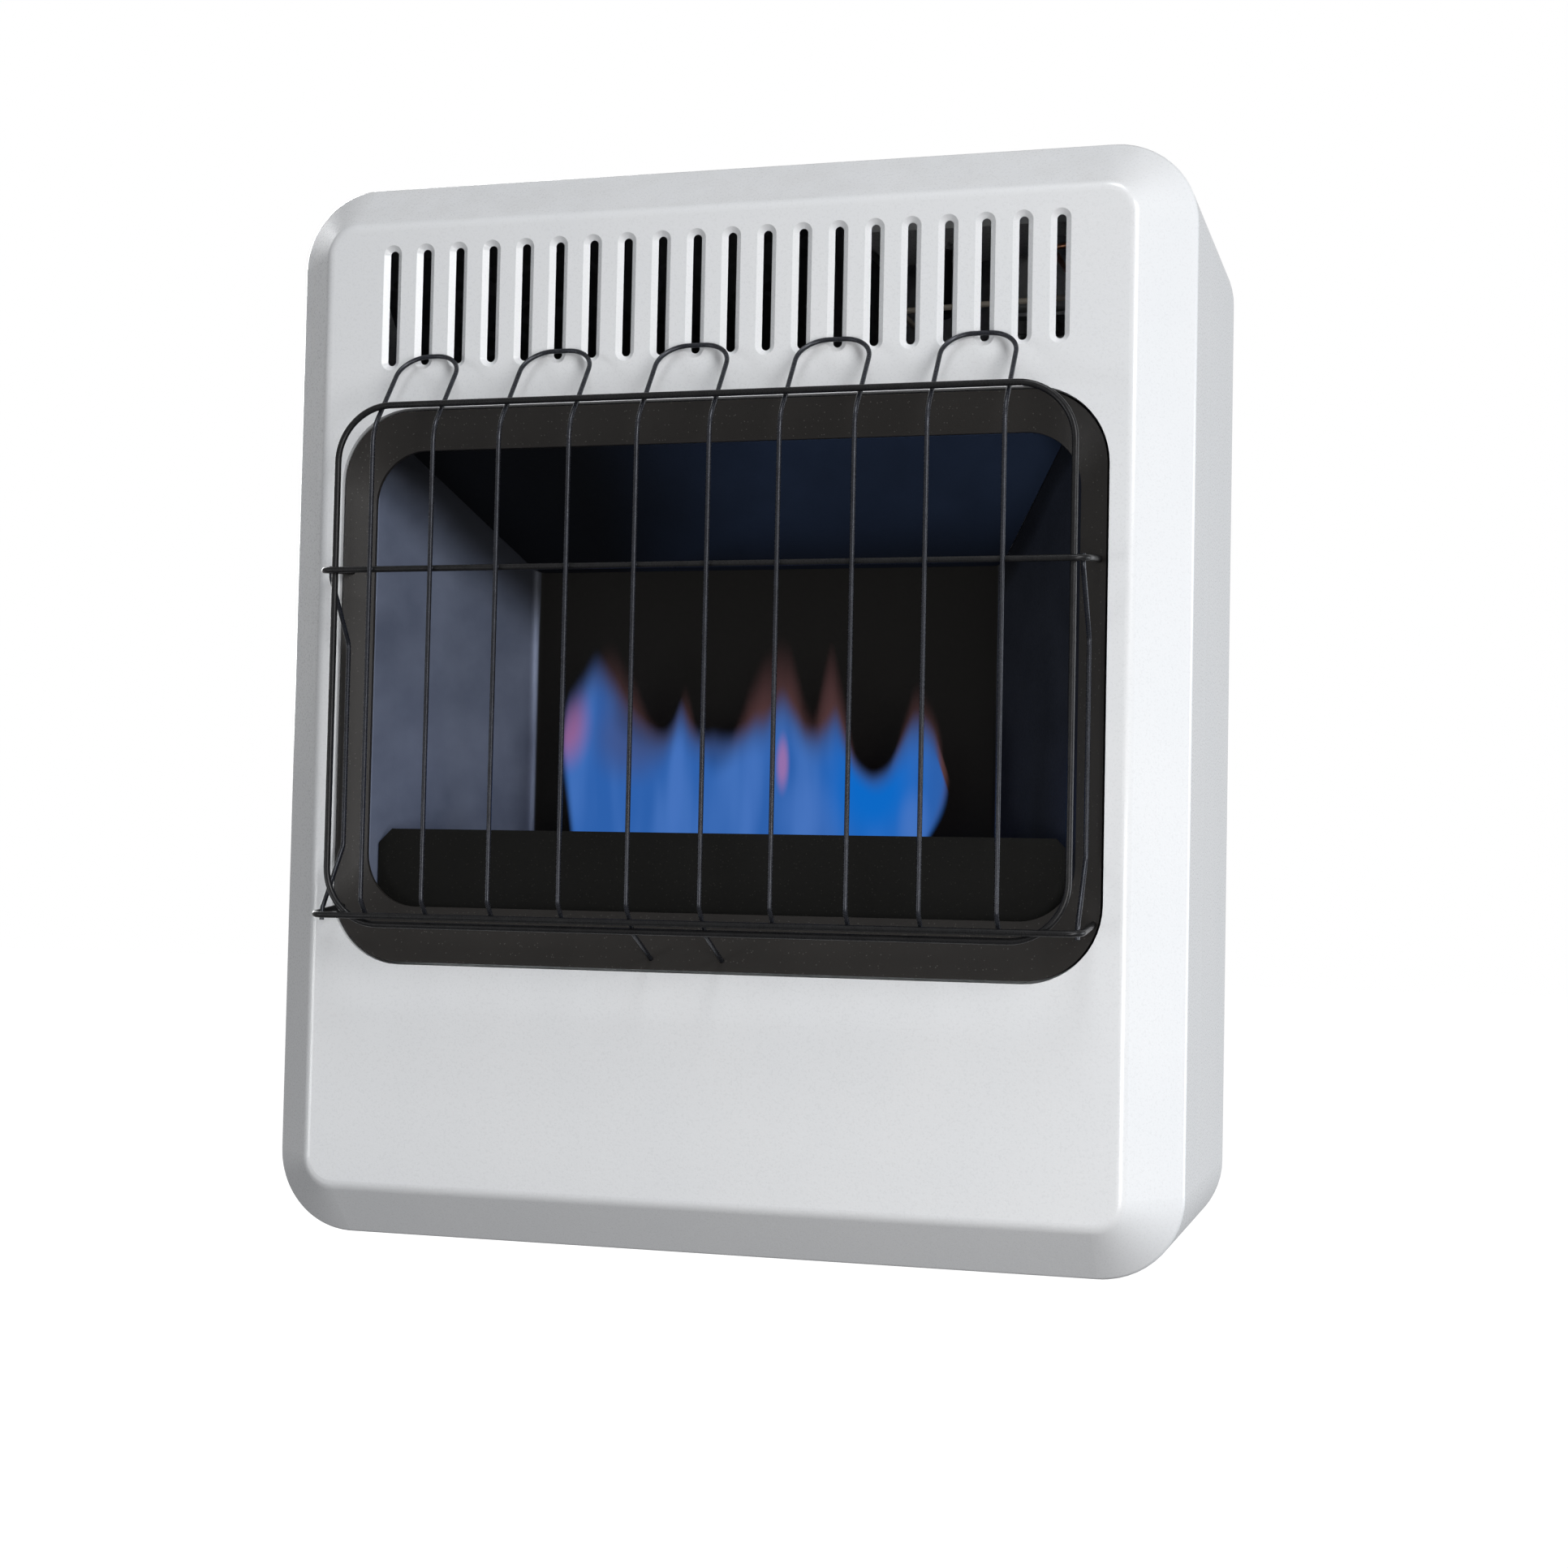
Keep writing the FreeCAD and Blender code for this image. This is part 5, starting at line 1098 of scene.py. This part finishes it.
@dataclass
class Burner:
    """The burner, its pilot set and the flames."""

    port_pitch: float = 10.0 * MM
    port_count: int = 24
    cone_radius: float = 1.9 * MM
    cone_tip_share: float = 0.15
    cone_height: float = 11.0 * MM
    cone_sink: float = 1.0 * MM
    cone_sides: int = 10
    haze_set: float = 8.0 * MM
    crests: Sequence[tuple[float, float]] = (
        (-0.108, 0.302), (-0.102, 0.318), (-0.095, 0.328), (-0.0855, 0.340), (-0.075, 0.327), (-0.067, 0.311),
        (-0.058, 0.299), (-0.047, 0.293), (-0.041, 0.300), (-0.0355, 0.311), (-0.029, 0.300), (-0.024, 0.295),
        (-0.013, 0.293), (0.000, 0.296), (0.009, 0.304), (0.016, 0.306), (0.0245, 0.319), (0.033, 0.311),
        (0.041, 0.299), (0.048, 0.296), (0.053, 0.300), (0.0585, 0.307), (0.0635, 0.294), (0.069, 0.280),
        (0.0785, 0.271), (0.087, 0.276), (0.094, 0.290), (0.1005, 0.303), (0.107, 0.304), (0.114, 0.295),
        (0.120, 0.276))
    haze_crests: Sequence[tuple[float, float]] = (
        (-0.101, 0.280), (-0.088, 0.334), (-0.079, 0.345), (-0.068, 0.328), (-0.057, 0.302), (-0.046, 0.295),
        (-0.0355, 0.322), (-0.025, 0.290), (-0.010, 0.288), (0.003, 0.318), (0.012, 0.340), (0.024, 0.347),
        (0.035, 0.322), (0.044, 0.304), (0.053, 0.341), (0.061, 0.316), (0.069, 0.275), (0.083, 0.262),
        (0.094, 0.302), (0.102, 0.322), (0.111, 0.309), (0.119, 0.284))

    def build(self, shop: Shop) -> None:
        """Dresses the burner's pieces and builds its flames.

        Args:
            shop: The frame's nodes and the finishes.
        """
        shop.dress(BURNER_STEEL, "burner_tube", "pilot_burner")
        shop.dress(ZINC_SHEET, "burner_saddles", "orifice_bracket", "pilot_bracket")
        shop.dress(BRASS, "orifice_fitting")
        shop.dress(CERAMIC, "pilot_electrode")
        shop.dress(COPPER, "thermocouple")
        centre = middle("burner_tube")
        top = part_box("burner_tube")[1].z
        main = FlameCurtain(self.crests, top + self.cone_height / 2)
        self._curtain(shop, "flame_curtain", main, centre.y, BLUE_FLAME)
        haze = FlameCurtain(self.haze_crests, top + self.cone_height, columns=90, rows=16)
        self._curtain(shop, "flame_haze", haze, centre.y + self.haze_set, RED_HAZE)
        self._cones(shop, centre.y, top)

    def _curtain(self, shop: Shop, name: str, curtain: FlameCurtain, y: float, finish: Flame) -> None:
        """Builds one curtain as a thin closed sheet.

        Args:
            shop: The frame's nodes and the finishes.
            name: The piece's name.
            curtain: Its tongues of flame.
            y: The depth that it stands at.
            finish: Its look.
        """
        piece = shop.add(name, curtain.shape(y), finish, Slot.BURNER)
        wall = piece.modifiers.new("wall", "SOLIDIFY")
        wall.thickness = curtain.thickness
        wall.offset = 0.0

    def _cones(self, shop: Shop, y: float, top: float) -> None:
        """Builds the small bright cone over each port, and the pilot's flame.

        Args:
            shop: The frame's nodes and the finishes.
            y: The depth of the row of ports.
            top: The height of the burner's top.
        """
        cone = bmesh.new()
        cone.loops.layers.uv.new("UVMap")
        bmesh.ops.create_cone(
            cone, cap_ends=True, segments=self.cone_sides, radius1=self.cone_radius,
            radius2=self.cone_radius * self.cone_tip_share, depth=self.cone_height, calc_uvs=True)
        lift = top - self.cone_sink + self.cone_height / 2
        first = -(self.port_count - 1) / 2
        spots = [((first + step) * self.port_pitch, y, lift) for step in range(self.port_count)]
        pilot = middle("pilot_burner")
        spots.append((pilot.x, pilot.y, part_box("pilot_burner")[1].z + self.cone_height / 2))
        places = [Matrix.Translation(spot) for spot in spots]
        shop.add("flame_cones", scattered(cone, places), CONE_FLAME, Slot.BURNER)


@dataclass
class Controls:
    """The knob, its stem and the igniter on top of the casing."""

    mark_width: float = 1.4 * MM
    mark_height: float = 0.35 * MM
    mark_share: float = 0.55
    mark_rounding: float = mark_height / 3
    mark_stand: float = mark_height / 4

    def build(self, shop: Shop) -> None:
        """Dresses the controls and builds the knob's mark.

        Args:
            shop: The frame's nodes and the finishes.
        """
        shop.dress(BLACK_PLASTIC, "control_knob", "igniter_body")
        shop.dress(STEEL_STEM, "valve_stem", "stem_collar")
        shop.dress(RED_PLASTIC, "igniter_button")
        shop.dress(ZINC_SCREW, "igniter_nut")
        low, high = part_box("control_knob")
        centre = (low + high) / 2
        radius = (high.x - low.x) / 2
        mark = bmesh.new()
        bmesh.ops.create_cube(mark, size=1.0)
        length = radius * self.mark_share
        bmesh.ops.scale(mark, vec=(self.mark_width, length, self.mark_height), verts=mark.verts)
        bmesh.ops.bevel(
            mark, geom=mark.edges, offset=self.mark_rounding, offset_type="OFFSET", segments=2, profile=0.5,
            affect="EDGES", material=-1)
        spot = (centre.x, centre.y - length, high.z + self.mark_stand)
        bmesh.ops.translate(mark, vec=spot, verts=mark.verts)
        shop.add("knob_mark", mark, MARK_WHITE, Slot.CERAMIC, body="knob_and_stem")


@dataclass
class GasTrain:
    """The valve, the regulator and every pipe and lead between them."""

    def build(self, shop: Shop) -> None:
        """Dresses the gas train.

        Args:
            shop: The frame's nodes and the finishes.
        """
        shop.dress(CAST_ALLOY, "gas_valve", "regulator")
        shop.dress(ZINC_SHEET, "valve_bracket", "bulb_clips")
        shop.dress(ZINC_SCREW, "valve_screws")
        shop.dress(BRASS, "inlet_fitting")
        shop.dress(ALLOY_PIPE, "supply_line", "burner_line", "pilot_line")
        shop.dress(COPPER, "thermocouple_lead", "thermostat_bulb", "thermostat_capillary")
        shop.dress(LEAD_SLEEVE, "igniter_lead")


@dataclass
class Guard:
    """The wire guard over the window, with the weld nuggets where its wires cross."""

    wire_radius: float = 1.3 * MM
    bar_radius: float = 1.7 * MM
    nugget_radius: float = 1.25 * MM
    nugget_form: tuple[float, float, float] = (1.25, 0.7, 1.0)

    def build(self, shop: Shop) -> None:
        """Dresses the wires and builds the welds.

        Args:
            shop: The frame's nodes and the finishes.
        """
        hairpins = [name for name in shop.nodes if name.startswith("guard_hairpin")]
        shop.dress(GUARD_WIRE, *hairpins, "guard_side_wire_left", "guard_side_wire_right")
        shop.dress(GUARD_BAR_SHADED, "guard_frame", "guard_mid_bar", "guard_bottom_bar")
        bar_low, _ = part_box("guard_mid_bar")
        height = bar_low.z + self.bar_radius
        places = []
        for name in hairpins:
            low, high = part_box(name)
            for x in (low.x + self.wire_radius, high.x - self.wire_radius):
                places.append(Matrix.Translation((x, bar_low.y, height)))
        nugget = bmesh.new()
        bmesh.ops.create_icosphere(nugget, subdivisions=2, radius=self.nugget_radius)
        bmesh.ops.scale(nugget, vec=self.nugget_form, verts=nugget.verts)
        shop.add("guard_welds", scattered(nugget, places), GUARD_WIRE, Slot.WIRE)


@dataclass(frozen=True)
class Lamp:
    """A soft rectangular lamp."""

    name: str
    place: tuple[float, float, float]
    aim: tuple[float, float, float]
    width: float
    height: float
    power: float
    tint: Colour

    def build(self) -> None:
        """Adds the lamp to the scene."""
        data = bpy.data.lights.new(self.name, "AREA")
        data.shape = "RECTANGLE"
        data.size = self.width
        data.size_y = self.height
        data.energy = self.power
        data.color = self.tint
        lamp = linked(self.name, data)
        lamp.location = self.place
        lamp.rotation_euler = (Vector(self.aim) - Vector(self.place)).to_track_quat("-Z", "Y").to_euler()


@dataclass
class Studio:
    """The floor, the lamps, the plain surround and the camera."""

    floor_z: float = -0.32
    floor_half: float = 12.0
    ambient: float = 0.07
    near_glow: float = 0.95
    floor_gloss: float = 0.2
    mirrored_glow: float = 0.5
    floor_tone: Colour = (0.12, 0.12, 0.123)
    floor_fade: tuple[float, float] = (0.8, 3.5)
    ambient_tone: Colour = (0.94, 0.97, 1.0)
    eye: tuple[float, float, float] = (0.4071, -1.3508, 0.2064)
    yaw_deg: float = 16.03
    pitch_deg: float = 2.25
    roll_deg: float = 1.18
    lens: float = 55.9
    film_width: float = 36.0
    nearest: float = 0.01
    lamps: Sequence[Lamp] = (
        Lamp("window_lamp", (3.4, -3.4, 2.2), (0.0, 0.0, 0.25), 2.0, 2.0, 124.0, WHITE),
        Lamp("side_lamp", (2.3, 0.7, 0.15), (0.25, 0.0, 0.2), 1.2, 1.4, 27.0, (0.9, 0.95, 1.0)),
        Lamp("high_lamp", (0.5, -1.4, 2.8), (0.0, 0.0, 0.3), 0.8, 0.8, 22.0, (0.96, 0.98, 1.0)),
        Lamp("front_lamp", (0.75, -1.15, 0.02), (0.05, 0.0, 0.1), 0.5, 0.5, 6.2, (1.0, 0.99, 0.98)),
        Lamp("low_left_lamp", (-1.7, -1.8, -0.05), (0.0, 0.0, 0.1), 0.8, 0.5, 8.0, (0.98, 0.99, 1.0)),
        Lamp("back_lamp", (-1.8, 2.2, 1.2), (0.0, 0.1, 0.3), 1.6, 1.6, 80.0, (0.98, 0.99, 1.0)),
    )

    def build(self) -> None:
        """Adds everything round the heater."""
        self._camera()
        self._world()
        self._floor()
        for lamp in self.lamps:
            lamp.build()
        bpy.context.scene.view_settings.view_transform = "Standard"

    def _camera(self) -> None:
        """Stands the camera where the photographer stood."""
        yaw, pitch, roll = (math.radians(turn) for turn in (self.yaw_deg, self.pitch_deg, self.roll_deg))
        ahead = Vector((-math.sin(yaw) * math.cos(pitch), math.cos(yaw) * math.cos(pitch), math.sin(pitch)))
        level = Vector((math.cos(yaw), math.sin(yaw), 0.0))
        rise = level.cross(ahead)
        right = level * math.cos(roll) + rise * math.sin(roll)
        up = rise * math.cos(roll) - level * math.sin(roll)
        data = bpy.data.cameras.new("photo_camera")
        data.lens = self.lens
        data.sensor_width = self.film_width
        data.clip_start = self.nearest
        camera = linked("photo_camera", data)
        camera.matrix_world = Matrix.Translation(self.eye) @ Matrix((right, up, -ahead)).transposed().to_4x4()
        bpy.context.scene.camera = camera

    @staticmethod
    def _seen(sheet: NodeSheet) -> Socket:
        """Tells the rays that show the surround itself, or its reflection or refraction.

        Args:
            sheet: The nodes of the world or the floor.

        Returns:
            1 for such a ray, and 0 for one that only carries light.
        """
        path = sheet.add("ShaderNodeLightPath")
        mirrored = sheet.math("MAXIMUM", path.outputs["Is Camera Ray"], path.outputs["Is Glossy Ray"])
        return sheet.math("MAXIMUM", mirrored, path.outputs["Is Transmission Ray"])

    def _world(self) -> None:
        """A white surround that lights the heater softly."""
        world = bpy.data.worlds.new("white_surround")
        sheet = emptied(world)
        straight = sheet.add("ShaderNodeLightPath").outputs["Is Camera Ray"]
        strength = sheet.span(straight, 0.0, 1.0, self.mirrored_glow, 1.0)
        seen = sheet.add("ShaderNodeBackground", {"Color": WHITE, "Strength": strength})
        soft = sheet.add("ShaderNodeBackground", {"Color": self.ambient_tone, "Strength": self.ambient})
        mixed = sheet.in_order("ShaderNodeMixShader", self._seen(sheet), soft.outputs[0], seen.outputs[0])
        sheet.add("ShaderNodeOutputWorld", {"Surface": mixed.outputs[0]})
        bpy.context.scene.world = world

    def _floor(self) -> None:
        """A plain pale floor under the hung heater."""
        shape = bmesh.new()
        bmesh.ops.create_grid(shape, x_segments=1, y_segments=1, size=self.floor_half)
        bmesh.ops.translate(shape, vec=(0, 0, self.floor_z), verts=shape.verts)
        mesh = meshed("studio_floor", shape)
        made = bpy.data.materials.new("floor_white")
        sheet = emptied(made)
        matt = sheet.add("ShaderNodeBsdfDiffuse", {"Color": self.floor_tone})
        far = sheet.in_order("ShaderNodeVectorMath", sheet.place(), operation="LENGTH").outputs["Value"]
        straight = sheet.add("ShaderNodeLightPath").outputs["Is Camera Ray"]
        fade = sheet.span(far, *self.floor_fade, self.near_glow, 1.0)
        shown = sheet.math("MULTIPLY", straight, fade)
        mirror = sheet.span(far, *self.floor_fade, self.floor_gloss, self.mirrored_glow)
        mirrored = sheet.math("MULTIPLY", sheet.math("SUBTRACT", 1.0, straight), mirror)
        strength = sheet.math("ADD", shown, mirrored)
        glow = sheet.add("ShaderNodeEmission", {"Color": WHITE, "Strength": strength})
        bright = sheet.in_order("ShaderNodeAddShader", matt.outputs[0], glow.outputs[0])
        mixed = sheet.in_order("ShaderNodeMixShader", self._seen(sheet), matt.outputs[0], bright.outputs[0])
        sheet.add("ShaderNodeOutputMaterial", {"Surface": mixed.outputs[0]})
        mesh.materials.append(made)
        floor = linked("studio_floor", mesh)
        floor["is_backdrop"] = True


def corners() -> list[list[float]]:
    """The shown object's lowest and highest corners as plain lists."""
    return [list(corner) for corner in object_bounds()]


def main() -> None:
    """Loads the frame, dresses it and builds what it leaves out."""
    logging.basicConfig(level=logging.INFO, format="%(name)s: %(message)s")
    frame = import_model()
    shop = Shop(frame["nodes"])
    for part in (Cover(), Casing(), Firebox(), Burner(), Controls(), GasTrain(), Guard()):
        part.build(shop)
    Studio().build()
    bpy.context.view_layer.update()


if __name__ == "__main__":
    main()
